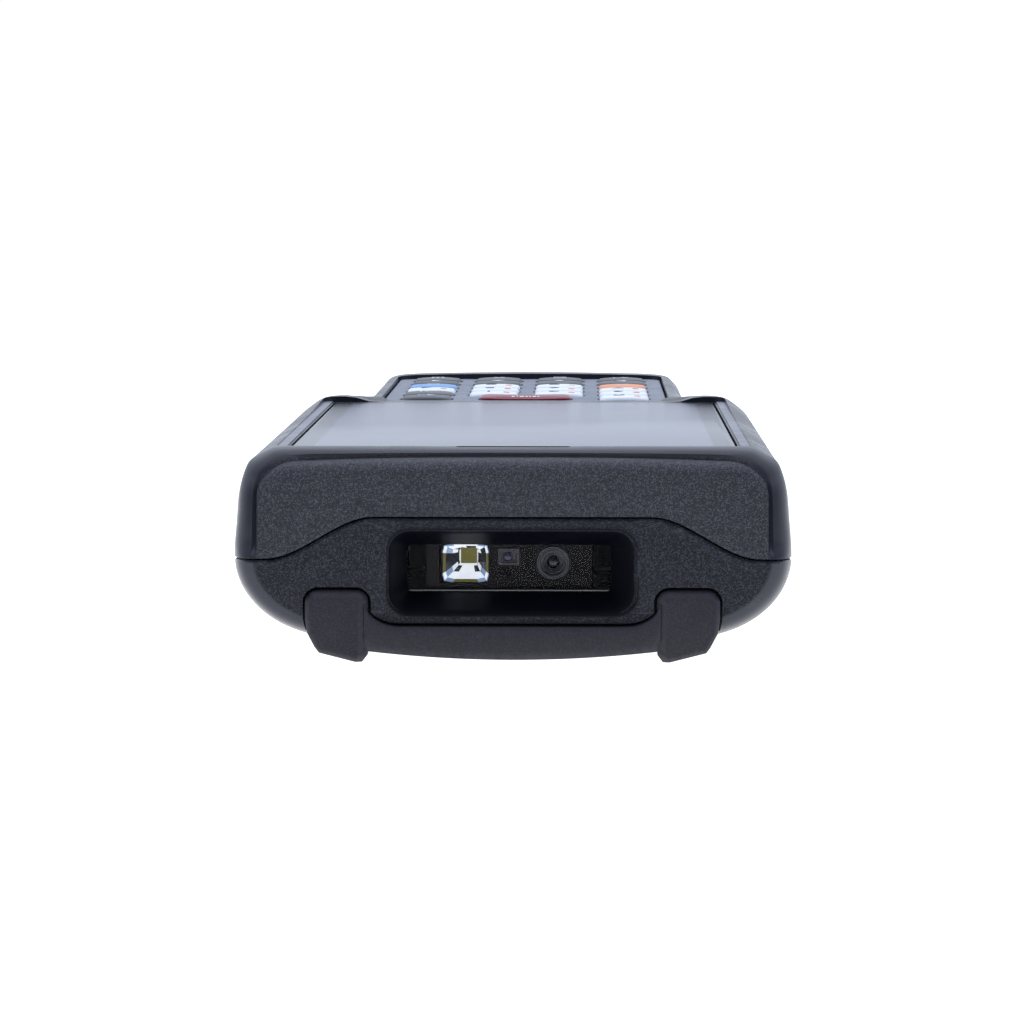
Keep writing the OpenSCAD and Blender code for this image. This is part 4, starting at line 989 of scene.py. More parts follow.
def make_keypad_plate():
    """Plate with a rolled edge; each hole is cut with a cutter that widens at the top."""
    a = np.radians(np.linspace(0, 90, 5))
    rings = [(0, PANEL_LOW[2])] + [(0.35 * (1 - math.cos(b)),
                                    PANEL_HIGH[2] - 0.35 * (1 - math.sin(b))) for b in a]
    loops = [np.column_stack([rounded(PANEL_W - 2 * d, PANEL_L - 2 * d, 3.75 - d, 10) + [0, PANEL_Y],
                              np.full(44, z)])
             for d, z in rings]
    piece = raw_object("keypad_plate", *loft(loops))
    holes = []
    for name in KEY_NODES:
        middle, w, l = cap_size(name)
        steps = [(0.25, PANEL_LOW[2] - 1), (0.25, PANEL_HIGH[2] - 0.3), (0.33, PANEL_HIGH[2] - 0.1),
                 (0.55, PANEL_HIGH[2] + 0.03), (0.55, PANEL_HIGH[2] + 1)]
        holes.append(loft([np.column_stack([rounded(w + 2 * g, l + 2 * g, 1.6 + g, 6) + middle,
                                            np.full(28, z)])
                           for g, z in steps]))
    carve(piece, holes)
    return finish_piece(piece, PANEL_GREY, replaces="keypad_panel")


make_keypad_plate()

# %% Key materials
WHITE_KEY = moulded("key_white", (0.66, 0.69, 0.74), rough=0.34, grain=0.12, scale=3800, sparkle=0.05,
                    edge_highlight=0.1,
                    dust=0.08)
DARK_KEY = moulded("key_dark", (0.04, 0.042, 0.05), rough=0.4, grain=0.2, scale=3800, sparkle=0.1, edge_highlight=0.25)
BLUE_KEY = moulded("key_blue", (0.09, 0.27, 0.58), rough=0.34, grain=0.12, scale=3800, sparkle=0.06,
                   edge_highlight=0.15)
ORANGE_KEY = moulded("key_orange", (0.72, 0.22, 0.07), rough=0.34, grain=0.12, scale=3800, sparkle=0.06,
                     edge_highlight=0.15)
MAROON_KEY = moulded("key_maroon", (0.2, 0.014, 0.03), rough=0.3, grain=0.1, scale=3800, sparkle=0.05,
                     edge_highlight=0.15)
INK_DARK = moulded("ink_dark", (0.012, 0.012, 0.016), rough=0.5, grain=0.05, sparkle=0.0, edge_highlight=0.0, dust=0.0)
INK_LIGHT = moulded("ink_light", (0.75, 0.77, 0.8), rough=0.5, grain=0.05, sparkle=0.0, edge_highlight=0.0, dust=0.0)
INK_ORANGE = moulded("ink_orange", (0.8, 0.2, 0.03), rough=0.5, grain=0.05, sparkle=0.0, edge_highlight=0.0, dust=0.0)
KEY_LOOKS = {"key_blue": (BLUE_KEY, "key_blue"), "key_orange": (ORANGE_KEY, "key_orange"),
             "key_scan": (MAROON_KEY, "key_maroon")}
DIGITS = {f"key_{i}": str(i) for i in range(10)}


def key_look(name):
    """Material and slot of a key: white for the digits, dark for the rest unless it has its own colour."""
    return KEY_LOOKS.get(name, (WHITE_KEY, "key_white") if name in DIGITS else (DARK_KEY, "key_dark"))


# %% Key caps
def squircle(w, l, power=5.0, n=48):
    """Closed loop |x / (w/2)|^p + |y / (l/2)|^p = 1."""
    a = np.linspace(0, 2 * np.pi, n, endpoint=False) + np.pi / n
    c, s = np.cos(a), np.sin(a)
    return np.column_stack([w / 2 * np.sign(c) * np.abs(c) ** (2 / power),
                            l / 2 * np.sign(s) * np.abs(s) ** (2 / power)])


def crown_height(name, x, y, top):
    """Height of a cap's top: a shallow dome on most keys, a dish along Y on the scan key."""
    middle, w, l = cap_size(name)
    u, v = (x - middle[0]) / (w / 2), (y - middle[1]) / (l / 2)
    if name == "key_scan":
        return top - 0.32 * (1 - np.clip(u * u * 0.8 + v * v * 0.6, 0, 1))
    return top - 0.3 * np.clip(u ** 2, 0, 1) ** 1.3 - 0.28 * np.clip(v ** 2, 0, 1) ** 1.3


def make_cap(name):
    """Flange, stem and cap in one loft from the stem's foot to the crown; inner loops follow the crown."""
    (low, high), (middle, w, l) = KEY_BOXES[name], cap_size(name)
    flange_z = PANEL_LOW[2] - 0.1
    stem = squircle(2.6, 2.6, 2.0)
    body = [(stem, low[2]), (stem, flange_z - FLANGE),
            (squircle(w + 2 * FLANGE, l + 2 * FLANGE), flange_z - FLANGE),
            (squircle(w + 2 * FLANGE, l + 2 * FLANGE), flange_z), (squircle(w, l), flange_z),
            (squircle(w, l), high[2] - 0.75)]
    loops = [np.column_stack([loop + middle, np.full(48, z)]) for loop, z in body]
    for share in (1.0, 0.985, 0.955, 0.91, 0.85, 0.7, 0.5, 0.3, 0.12):
        loop = squircle(w * share, l * (1 - (1 - share) * w / l if share > 0.9 else share)) + middle
        z = crown_height(name, loop[:, 0], loop[:, 1], high[2])
        edge = 0.42 * max(0.0, (share - 0.9) / 0.1) ** 2
        loops.append(np.column_stack([loop, z - edge]))
    piece = raw_object("cap_" + name[4:], *loft(loops))
    material, slot = key_look(name)
    return finish_piece(piece, material, body=name, replaces=name, sharp=45)


for name in KEY_NODES:
    make_cap(name)

# %% [markdown]
# ### Legends
# The legends are printed pads of ink a few hundredths of a millimetre thick. Digits come from the built-in
# font, turned into a mesh; arrows and signs are drawn as strokes. Each is laid on its key's crown by lifting
# its points to the crown's height, so that it moves and bends with the key.

# %% Legends
def font_shape(text, size):
    """Points and faces of a filled text, its middle at the origin."""
    curve = bpy.data.curves.new("legend_source", "FONT")
    curve.body, curve.size, curve.align_x, curve.align_y = text, size, "CENTER", "CENTER"
    curve.resolution_u = 3
    source = bpy.data.objects.new("legend_source", curve)
    bpy.context.scene.collection.objects.link(source)
    mesh = bpy.data.meshes.new_from_object(source.evaluated_get(bpy.context.evaluated_depsgraph_get()))
    points = np.empty(len(mesh.vertices) * 3)
    mesh.vertices.foreach_get("co", points)
    faces = [list(p.vertices) for p in mesh.polygons]
    bpy.data.objects.remove(source)
    bpy.data.curves.remove(curve)
    bpy.data.meshes.remove(mesh)
    points = points.reshape(-1, 3)[:, :2]
    return points - (points.min(0) + points.max(0)) / 2, faces


def stroke(path, width=0.34):
    """Flat band along a list of points, with square ends."""
    path = np.asarray(path, float)
    run = np.gradient(path, axis=0)
    side = np.column_stack([-run[:, 1], run[:, 0]]) / np.linalg.norm(run, axis=1)[:, None] * width / 2
    n = len(path)
    faces = [[i, i + 1, n + i + 1, n + i] for i in range(n - 1)]
    return np.concatenate([path - side, path + side]), faces


def ring_path(r, start, stop, n=20):
    """Arc of a circle, in degrees from +X."""
    a = np.radians(np.linspace(start, stop, n))
    return np.column_stack([r * np.cos(a), r * np.sin(a)])


def arrow(angle):
    """Solid arrowhead that points along angle."""
    a = math.radians(angle)
    turn = np.array([[math.cos(a), math.sin(a)], [-math.sin(a), math.cos(a)]])
    return [(np.array([[1.1, 0], [-0.7, 1.1], [-0.7, -1.1]]) @ turn, [[0, 1, 2]])]


SIGNS = {
    "key_left": arrow(180), "key_right": arrow(0), "key_up": arrow(90), "key_down": arrow(270),
    "key_back": [stroke([[1.3, 0.9], [1.3, 0.1], [-0.9, 0.1]]),
                 stroke([[-0.2, 0.9], [-1.1, 0.1], [-0.2, -0.7]])],
    "key_tab": [stroke([[-1.3, 0], [0.8, 0]]), stroke([[0.2, 0.7], [0.95, 0], [0.2, -0.7]]),
                stroke([[1.4, 0.9], [1.4, -0.9]])],
    "key_blue": [stroke(ring_path(1.0, 0, 360))],
    "key_orange": [stroke([[-1, -0.7], [0, 1], [1, -0.7], [-1, -0.7]])],
    "key_power": [stroke(ring_path(1.1, 120, 420)), stroke([[0, 1.4], [0, 0.2]])],
    "key_clear": [stroke([[-0.9, -0.9], [0.9, 0.9]]), stroke([[-0.9, 0.9], [0.9, -0.9]])],
    "key_menu": [stroke([[-1.2, h], [1.2, h]]) for h in (-0.8, 0, 0.8)],
    "key_enter": [stroke([[1.3, 1.0], [1.3, -0.2], [-1.0, -0.2]]),
                  stroke([[-0.3, 0.6], [-1.2, -0.2], [-0.3, -1.0]])],
    "key_scan": [stroke([[x, -1.0], [x, 1.0]], width) for x, width in
                 ((-2.2, 0.3), (-1.5, 0.55), (-0.8, 0.25), (-0.2, 0.4), (0.6, 0.7), (1.4, 0.25),
                  (2.1, 0.45))],
}


def lay_on_key(name, label, shapes, offset, material, thickness=0.03):
    """Put flat shapes on a key's crown. The keypad is read from the keypad end, so they are turned round."""
    middle, _, _ = cap_size(name)
    points, faces, count = [], [], 0
    for shape, quads in shapes:
        points.append(shape)
        faces += [[i + count for i in q] for q in quads]
        count += len(shape)
    flat = np.concatenate(points) * TEXT_TURN + np.asarray(offset) * TEXT_TURN + middle
    z = crown_height(name, flat[:, 0], flat[:, 1], KEY_BOXES[name][1][2]) + thickness
    piece = raw_object(label, np.column_stack([flat, z]), faces)
    thick = piece.modifiers.new("ink", "SOLIDIFY")
    thick.thickness, thick.offset = thickness * 1.6 * MM, -1.0
    apply_modifiers(piece)
    piece.data.materials.clear()
    return finish_piece(piece, material, body=name)


TEXT_TURN = -1.0
for name in KEY_NODES:
    if name in DIGITS:
        lay_on_key(name, "digit_" + name[4:], [font_shape(DIGITS[name], 4.6)], (0.9, -0.2), INK_DARK)
        mark = [stroke([[-0.5, 0], [0.5, 0]],
                       0.5)] if int(DIGITS[name]) % 2 else [stroke(ring_path(0.45, 0, 360), 0.3)]
        lay_on_key(name, "mark_" + name[4:], mark, (-2.2, 1.7), INK_ORANGE)
    else:
        lay_on_key(name, "sign_" + name[4:], SIGNS[name], (0, 0), INK_LIGHT)

# %% [markdown]
# ## Side buttons, battery door and port cover
# The side triggers and the volume rocker are rubber over plastic: long pills with a crowned face. The battery
# door is a moulded plate with finger ridges, and the port cover is a soft flap on a hinge bar.

# %% Side buttons
def make_button(name, body, y, l, side, ridge):
    """Pill that faces outwards along X: a flange behind the wall, straight sides and a rolled, crowned face."""
    low, high = box_mm(name)
    inner, outer = (high[0] if side < 0 else low[0]), (low[0] if side < 0 else high[0])
    inner, outer = abs(inner), abs(outer)
    back = FLANGE_X
    steps = [(-1.0, back), (-1.0, back + 0.6), (0, back + 0.6), (0, outer - 0.6)]
    a = np.radians(np.linspace(0, 90, 7))[1:]
    steps += [(0.6 * (1 - math.cos(b)), outer - 0.6 + 0.45 * math.sin(b)) for b in a]
    steps += [(1.1, outer - 0.06), (1.7, outer)]
    loops = []
    for d, x in steps:
        loop = rounded(l - 2 * d, BUTTON_H - 2 * d, max(0.4, 2.0 - d), 8) + [y, SIDE_Z]
        loops.append(np.column_stack([np.full(36, side * x), loop]))
    piece = raw_object(name + "_cap", *loft(loops))
    if ridge:
        tools = []
        for off in ridge:
            loop = np.column_stack([np.array([-0.35, 0.0, 0.35, 0.0]) + y + off, [0, 0, 0, 0]])
            tools.append(loft([np.column_stack([side * (outer + np.array([0.3, -0.22, 0.3, 0.8])), loop[:, 0],
                                                np.full(4, z)]) for z in (SIDE_Z - 1.5, SIDE_Z + 1.5)]))
        carve(piece, tools)
    return finish_piece(piece, SIDE_KEY, body=body, replaces=name)


FLANGE_X = HEAD_W / 2 - 0.5 - 1.8 - 0.9
make_button("right_trigger", "right_trigger", TRIGGER_Y, TRIGGER_L, 1, [-3, -1, 1, 3])
make_button("left_trigger", "left_trigger", TRIGGER_Y, TRIGGER_L, -1, [-3, -1, 1, 3])
make_button("volume_rocker", "volume_rocker", ROCKER_Y, ROCKER_L, -1, [-6.5, -5.5, 5.5, 6.5])


# %% Battery door
def make_door():
    """Plate with a rolled outer edge, finger ridges at its far end and shallow panel lines."""
    y, w, l = (DOOR_LOW[1] + DOOR_HIGH[1]) / 2, 39.0, DOOR_HIGH[1] - DOOR_LOW[1]
    a = np.radians(np.linspace(0, 90, 5))
    rings = [(0.4 * (1 - math.sin(b)), DOOR_LOW[2] + 0.4 * (1 - math.cos(b))) for b in a] + [(0,
            DOOR_HIGH[2])]
    loops = [np.column_stack([rounded(w - 2 * d, l - 2 * d, 1.4 - d, 6) + [0, y], np.full(28, z)]) for d,
             z in rings]
    piece = raw_object("door_plate", *loft(loops))
    end = DOOR_HIGH[1]
    cuts = [slab(0, end - 6 - 2.4 * i, 17 - 1.1 * i, 1.1, 0.5, 0, DOOR_LOW[2] + 0.45) for i in range(5)]
    cuts.append(slab(0, y - 8, 26, 22, 2, 0, DOOR_LOW[2] + 0.15))
    carve(piece, cuts)
    tabs = [slab(side * 19.3, DOOR_LOW[1] + off, 2.4, 4, 0.3, DOOR_LOW[2] + 0.7, DOOR_HIGH[2])
            for side in (1, -1) for off in (6, 46)]
    carve(piece, tabs, "UNION")
    return finish_piece(piece, DOOR_PLASTIC, body="battery_door", replaces="battery_door")


DOOR_PLASTIC = moulded("door_plastic", (0.02, 0.021, 0.027), rough=0.5, grain=0.6, scale=7000, sparkle=0.1)
make_door()


# %% Port cover
def make_flap():
    """Flap with rolled edges and a finger lip, joined to a round hinge bar with its two pins."""
    w, low, high = 16.0, COVER_LOW[2], HINGE_Z
    s0 = COVER_LOW[1]
    a = np.radians(np.linspace(0, 90, 5))
    steps = [(0, s0)] + [(0.35 * (1 - math.cos(b)), s0 + 1.15 + 0.35 * math.sin(b)) for b in a]
    loops = [np.insert(rounded(w - 2 * d, high - low - 2 * d, 0.9 - d, 6) + [0, (low + high) / 2], 1, y,
                       axis=1)
             for d, y in steps]
    piece = raw_object("port_flap", *loft(loops))
    turn = np.linspace(0, 2 * np.pi, 28, endpoint=False)
    bars = []
    for r, half in ((0.9, w / 2), (0.6, w / 2 + 1.3)):
        ring = np.column_stack([s0 + 0.9 + r * np.cos(turn), HINGE_Z + r * np.sin(turn)])
        bars.append(loft([np.insert(ring, 0, x, axis=1) for x in (-half, half)]))
    lip = loft([np.insert(rounded(7 - 2 * d, 1.1 - 2 * d, 0.45 - d, 5) + [0, low + 1.0], 1, s0 + 1.45 + h,
                          axis=1)
                for d, h in ((0, -0.3), (0, 0.15), (0.1, 0.3), (0.25, 0.38))])
    carve(piece, [*bars, lip], "UNION")
    return finish_piece(piece, COVER_RUBBER, body="port_cover", replaces="port_cover")


HINGE_Z = COVER_HIGH[2] - 0.9
make_flap()

# %% [markdown]
# ## The scan engine
# Behind the window sits a small camera module: a light with a moulded lens, an aiming light and the imager.
# The light's lens is a square of clear plastic cut with facets, which throw the light of the chip behind it
# sideways, so from outside its corners sparkle and the yellow chip shows through the middle. Each facet is
# real geometry, a few tenths of a millimetre deep, because a bump can't refract. The facets here are opaque,
# though: their sparkle is painted, each facet coloured white, blue or dark with a little glow as a painted
# reflection, and the chip has a painted glow.

# %% Optical materials
def clear_material(name, tint, rough, alpha, ior=1.5):
    """Thin clear plastic: mostly see-through by Alpha, so that light reaches what is behind it."""
    material = bpy.data.materials.new(name)
    material.use_nodes = True
    tree = material.node_tree
    shader = tree.nodes["Principled BSDF"]
    uneven = place_group(tree, UNEVEN, Scale=300.0)
    tree.links.new(mix_colour(tree, uneven.outputs["Value"], tuple(tint) + (1.0,),
                              tuple(c * 0.9 for c in tint) + (1.0,)),
                   shader.inputs["Base Color"])
    tree.links.new(remap(tree, uneven.outputs["Value"], 0, 1, rough, rough * 1.6), shader.inputs["Roughness"])
    shader.inputs["Alpha"].default_value = alpha
    shader.inputs["IOR"].default_value = ior
    return material


def glow_material(name, colour, glow, rough=0.3, specks=0.0):
    """Optical surface with painted light: a bright colour and a little glow stand for the reflections and the
    light that clear facets gather from all round.
    """
    material = bpy.data.materials.new(name)
    material.use_nodes = True
    tree = material.node_tree
    shader = tree.nodes["Principled BSDF"]
    grain = place_group(tree, GRAIN, Scale=12000.0, Pebbles=0.8)
    speck = math_node(tree, "MULTIPLY", grain.outputs["Sparkle"], specks)
    tint = mix_colour(tree, speck, tuple(colour) + (1.0,), tuple(0.4 * c for c in colour) + (1.0,))
    tree.links.new(tint, shader.inputs["Base Color"])
    tree.links.new(tint, shader.inputs["Emission Color"])
    shader.inputs["Emission Strength"].default_value = glow
    shader.inputs["Roughness"].default_value = rough
    return material


PANE = clear_material("window_plastic", (0.005, 0.005, 0.01), 0.04, 0.06)
# Painted glow: the chip's yellow and the aimer's violet carry a little emission, though neither is lit.
PHOSPHOR_PAINTED_GLOW = glow_material("led_phosphor", (0.13, 0.115, 0.012), 0.35, 0.5, 0.3)
# Painted reflections: the facets are opaque, coloured white, blue or dark with a little glow, for what clear
# facets would reflect.
FACET_PAINTED_GLINT = glow_material("facet_painted_glint", (0.78, 0.82, 0.9), 0.75, 0.15)
FACET_PAINTED_BLUE_REFLECTION = glow_material("facet_painted_blue_reflection", (0.3, 0.42, 0.62), 0.3, 0.12)
FACET_PAINTED_DARK_REFLECTION = glow_material("facet_painted_dark_reflection", (0.03, 0.035, 0.05), 0.1, 0.1)
VIOLET_PAINTED_GLOW = glow_material("aimer_glass", (0.02, 0.017, 0.05), 0.3, 0.12)
BARREL = moulded("barrel_metal", (0.02, 0.02, 0.028), rough=0.35, grain=0.1, scale=9000, sparkle=0.1,
                 metallic=0.2)
LENS_BLACK = moulded("imager_glass", (0.004, 0.006, 0.012), rough=0.08, grain=0.0, sparkle=0.0, edge_highlight=0.0,
                     dust=0.0)


# %% Illumination lens
LIGHT_LOW, LIGHT_HIGH = box_mm("illumination_lens")
LED_LOW, LED_HIGH = box_mm("illumination_led")


def make_light_lens():
    """Square crystal: a frame, four corner facets split along their diagonals, and a sunk middle. Rings of
    8 points (a corner and a side's middle in turn) alternate in depth, which folds the facets."""
    middle = (LIGHT_LOW + LIGHT_HIGH) / 2 + [0.3, 0, 0.15]
    w, h = LIGHT_HIGH[0] - LIGHT_LOW[0], LIGHT_HIGH[2] - LIGHT_LOW[2]
    chip = [(LED_LOW[0] + LED_HIGH[0]) / 2 + 0.2, (LED_LOW[2] + LED_HIGH[2]) / 2 + 0.4]
    front = LIGHT_LOW[1]
    sign = np.array([[1, 0.55], [1, 1], [0.55, 1], [0, 1], [-0.55, 1], [-1, 1], [-1, 0.55], [-1, 0],
                     [-1, -0.55], [-1, -1], [-0.55, -1], [0, -1], [0.55, -1], [1, -1], [1, -0.55], [1, 0]])
    corner = (np.abs(sign).min(1) > 0.9).astype(float)
    beside = ((np.abs(sign).min(1) > 0.3) & (corner == 0)).astype(float)
    shrink = 1 - 0.08 * corner
    outer = sign * shrink[:, None] * [w / 2, h / 2] + [middle[0], middle[2]]

    def ring(share, depth, pull=0.0):
        """Outer loop drawn towards the chip's middle, at a depth that may differ round the loop."""
        centre = np.array([middle[0], middle[2]]) * (1 - pull) + np.array(chip) * pull
        loop = centre + (outer - [middle[0], middle[2]]) * share
        return np.insert(loop, 1, front + depth, axis=1)

    rings = [ring(1.0, 2.2), ring(1.0, 0.1), ring(0.97, 0.0),
             ring(0.86, 0.12 + 0.5 * corner - 0.1 * beside, 0.1),
             ring(0.62, 0.75 + 0.35 * beside - 0.5 * corner, 0.35), ring(0.44, 1.3 - 0.3 * corner, 0.7),
             ring(0.4, 1.5, 0.9)]
    points, faces = loft(rings)
    piece = raw_object("light_lens", points, faces[:-2] + [faces[-2]])
    piece = finish_piece(piece, [FACET_PAINTED_GLINT, FACET_PAINTED_BLUE_REFLECTION, FACET_PAINTED_DARK_REFLECTION, PHOSPHOR_PAINTED_GLOW],
                         replaces="illumination_lens", sharp=5)
    # Each facet is given a painted reflection, white, blue or dark, and some the chip's yellow with its painted
    # glow.
    n = 16
    quads = np.arange(6 * n).reshape(6, n)
    pick = np.zeros(len(piece.data.polygons), int)
    side = np.arange(n)
    pick[quads[0]] = 2
    pick[quads[1]] = np.where(side % 4 < 2, 1, 2)
    pick[quads[2]] = np.array([0, 1, 0, 0, 1, 0, 3, 3, 0, 1, 3, 3, 1, 0, 3, 3])
    pick[quads[3]] = np.array([2, 0, 2, 0, 0, 1, 2, 2, 1, 0, 0, 0, 0, 1, 2, 2])
    pick[quads[4]] = np.array([0, 2, 2, 2, 2, 0, 2, 2, 0, 2, 0, 0, 2, 0, 2, 2])
    pick[quads[5]] = np.array([2, 2, 2, 2, 2, 2, 2, 2, 2, 0, 0, 0, 0, 2, 2, 2])
    piece.data.polygons.foreach_set("material_index", pick)
    return piece


make_light_lens()


# %% Chip, aiming light and imager
def make_chip():
    """Light chip in front of the crystal's sunk middle, so that it isn't lost in the facets. Its yellow carries
    a painted glow.
    """
    x, z = (LED_LOW[0] + LED_HIGH[0]) / 2 + 0.2, (LED_LOW[2] + LED_HIGH[2]) / 2 + 0.4
    piece = raw_object("light_chip", *upright(x, z, 2.25, 2.25, 0.12, LIGHT_LOW[1] + 0.7, LED_HIGH[1], 4))
    return finish_piece(piece, PHOSPHOR_PAINTED_GLOW, replaces="illumination_led")


make_chip()


def turned(x, z, profile, n=48):
    """Surface turned about an axis along Y at x and z, from a profile of radius and Y."""
    a = np.linspace(0, 2 * np.pi, n, endpoint=False)
    return loft([np.column_stack([x + r * np.cos(a), np.full(n, y), z + r * np.sin(a)]) for r, y in profile])


def make_imager():
    """Barrel with a stepped mouth, a bright retaining ring and a domed front glass."""
    low, high = box_mm("imager_barrel")
    x, z, y = (low[0] + high[0]) / 2, (low[2] + high[2]) / 2, low[1]
    barrel = [(2.4, high[1]), (2.4, y + 0.15), (2.3, y), (2.05, y), (1.95, y + 0.35), (1.75, y + 0.4),
              (1.7, y + 0.7), (1.35, y + 0.75), (1.28, y + 1.2), (0.95, y + 1.3), (0.9, y + 2.4),
              (0.05, y + 2.4)]
    piece = raw_object("imager_barrel_turned", *turned(x, z, barrel))
    finish_piece(piece, BARREL, replaces="imager_barrel", sharp=25)
    a = np.radians(np.linspace(0, 88, 10))
    dome = [(0.9, y + 2.3), (0.9, y + 1.75)] + [(0.9 * math.cos(b),
                                                 y + 1.75 - 0.35 * math.sin(b)) for b in a[1:]]
    glass = raw_object("imager_front_glass", *turned(x, z, dome))
    finish_piece(glass, LENS_BLACK, replaces="imager_lens", sharp=60)
    for label, r, width, depth in (("imager_ring_outer", 2.02, 0.16, -0.06),
                                   ("imager_ring_inner", 1.28, 0.1, 0.62)):
        hoop = [(r - width, y + depth + 0.3), (r - width, y + depth + 0.05), (r - width / 2, y + depth),
                (r, y + depth + 0.05), (r, y + depth + 0.3)]
        angle = np.linspace(0, 2 * np.pi, 48, endpoint=False)
        rings = [np.column_stack([x + q * np.cos(angle), np.full(48, v), z + q * np.sin(angle)]) for q,
                 v in hoop]
        ring_piece = raw_object(label, *loft(rings, cyclic=True))
        finish_piece(ring_piece, RING_GREY)


RING_GREY = moulded("ring_grey", (0.06, 0.06, 0.085), rough=0.3, grain=0.1, scale=9000, sparkle=0.1)
make_imager()


def make_aimer():
    """Violet aiming lens: a domed rounded rectangle in a bezel, above the small hole of its stop."""
    low, high = box_mm("aimer_lens")
    x, z, y = (low[0] + high[0]) / 2, (low[2] + high[2]) / 2, low[1]
    steps = [(0, high[1]), (0, y + 0.12), (0.12, y), (0.45, y), (0.5, y + 0.35), (0.9, y + 0.36)]
    loops = [np.insert(rounded(3.2 - 2 * d, 2.5 - 2 * d, 0.3 - 0.2 * min(d, 1), 5) + [x, z], 1, v, axis=1)
             for d, v in steps]
    bezel = raw_object("aimer_bezel", *loft(loops))
    finish_piece(bezel, BARREL, replaces="aimer_lens")
    a = np.radians(np.linspace(0, 86, 7))
    dome = [(0.72, y + 0.5)] + [(0.72 * math.cos(b), y + 0.36 - 0.3 * math.sin(b)) for b in a]
    lens = raw_object("aimer_dome", *turned(x - 0.15, z, dome, 32))
    # The violet dome carries a little painted glow.
    finish_piece(lens, VIOLET_PAINTED_GLOW, sharp=60)


make_aimer()


def make_faceplate():
    """Plate of the engine with its openings and three shallow round recesses."""
    low, high = box_mm("engine_body")
    y = low[1]
    x, z = (low[0] + high[0]) / 2, (low[2] + high[2]) / 2
    rings = [(0, high[1]), (0, y + 0.25), (0.25, y)]
    loops = [np.insert(rounded(high[0] - low[0] - 2 * d, high[2] - low[2] - 2 * d, 0.5, 4) + [x, z], 1, v,
                       axis=1)
             for d, v in rings]
    piece = raw_object("engine_block", *loft(loops))
    light = (LIGHT_LOW + LIGHT_HIGH) / 2
    barrel_low, barrel_high = box_mm("imager_barrel")
    eye = (barrel_low + barrel_high) / 2
    aim_low, aim_high = box_mm("aimer_lens")
    aim = (aim_low + aim_high) / 2
    cuts = [upright(light[0], light[2], 6.8, 5.65, 0.4, y - 1, y + 3.2, 4),
            upright(aim[0], aim[2], 3.3, 2.6, 0.35, y - 1, y + 2, 4),
            turned(eye[0], eye[2], [(2.45, y - 1), (2.45, y + 5)]),
            turned(aim[0], 11.7, [(0.6, y - 1), (0.55, y + 1.5)], 24)]
    cuts += [turned(px, 10.9, [(0.75, y - 1), (0.7, y + 0.18)], 24) for px in (2.6, 9.4)]
    cuts += [turned(-0.6, 16.4, [(0.5, y - 1), (0.45, y + 0.2)], 20)]
    carve(piece, cuts)
    return finish_piece(piece, ENGINE_BLACK, replaces="engine_body")


make_faceplate()


def make_window_edge():
    """Thin glowing strip a hair in front of the pane's lower edge: a painted glint, for the fine line of light
    that the pane's polished edge shows.
    """
    low = box_mm("scan_window")[0]
    piece = raw_object("window_edge", *upright(WINDOW_X, 9.42, 28, 0.13, 0.06, low[1] - 0.12, low[1] + 0.2,
                                               3))
    return finish_piece(piece, PAINTED_GLINT)


# Painted glint: a light grey with a little glow.
PAINTED_GLINT = glow_material("window_edge", (0.16, 0.165, 0.18), 0.1, 0.3, 1.0)
make_window_edge()

# %% [markdown]
# ## What is carried over from the model
# Seals, boards, frames, screws and the inside pieces have the right shape already, so they keep their
# meshes and get a material with the fine detail of the real thing: solder mask, brushed metal, knurl, mesh.

# %% Materials for the model's own pieces
def metal_material(name, colour, rough, stretch=(1.0, 1.0, 1.0), scale=900.0):
    """Brushed or plated metal: noise stretched by a Mapping node drives roughness and a fine bump."""
    material = bpy.data.materials.new(name)
    material.use_nodes = True
    tree = material.node_tree
    shader = tree.nodes["Principled BSDF"]
    mapping = tree.nodes.new("ShaderNodeMapping")
    mapping.inputs["Scale"].default_value = stretch
    tree.links.new(tree.nodes.new("ShaderNodeTexCoord").outputs["Object"], mapping.inputs["Vector"])
    lines = noise(tree, mapping.outputs[0], scale, 4, 0.6)
    tree.links.new(mix_colour(tree, lines, tuple(0.8 * c for c in colour) + (1.0,), tuple(colour) + (1.0,)),
                   shader.inputs["Base Color"])
    tree.links.new(remap(tree, lines, 0.3, 0.7, rough - 0.08, rough + 0.1), shader.inputs["Roughness"])
    bump = tree.nodes.new("ShaderNodeBump")
    bump.inputs["Strength"].default_value = 0.2
    bump.inputs["Distance"].default_value = 0.00005
    tree.links.new(lines, bump.inputs["Height"])
    tree.links.new(bump.outputs["Normal"], shader.inputs["Normal"])
    shader.inputs["Metallic"].default_value = 1.0
    return material


def mesh_material():
    """Punched metal mesh: a Voronoi pattern of round dark holes in bright metal."""
    material = bpy.data.materials.new("mesh_metal")
    material.use_nodes = True
    tree = material.node_tree
    shader = tree.nodes["Principled BSDF"]
    cells = tree.nodes.new("ShaderNodeTexVoronoi")
    tree.links.new(tree.nodes.new("ShaderNodeTexCoord").outputs["Object"], cells.inputs["Vector"])
    cells.inputs["Scale"].default_value = 2600.0
    cells.inputs["Randomness"].default_value = 0.1
    hole = remap(tree, cells.outputs["Distance"], 0.3, 0.42, 1.0, 0.0)
    tree.links.new(mix_colour(tree, hole, (0.45, 0.47, 0.52, 1.0), (0.004, 0.004, 0.005, 1.0)),
                   shader.inputs["Base Color"])
    tree.links.new(remap(tree, hole, 0, 1, 0.3, 0.8), shader.inputs["Roughness"])
    shader.inputs["Metallic"].default_value = 0.8
    return material


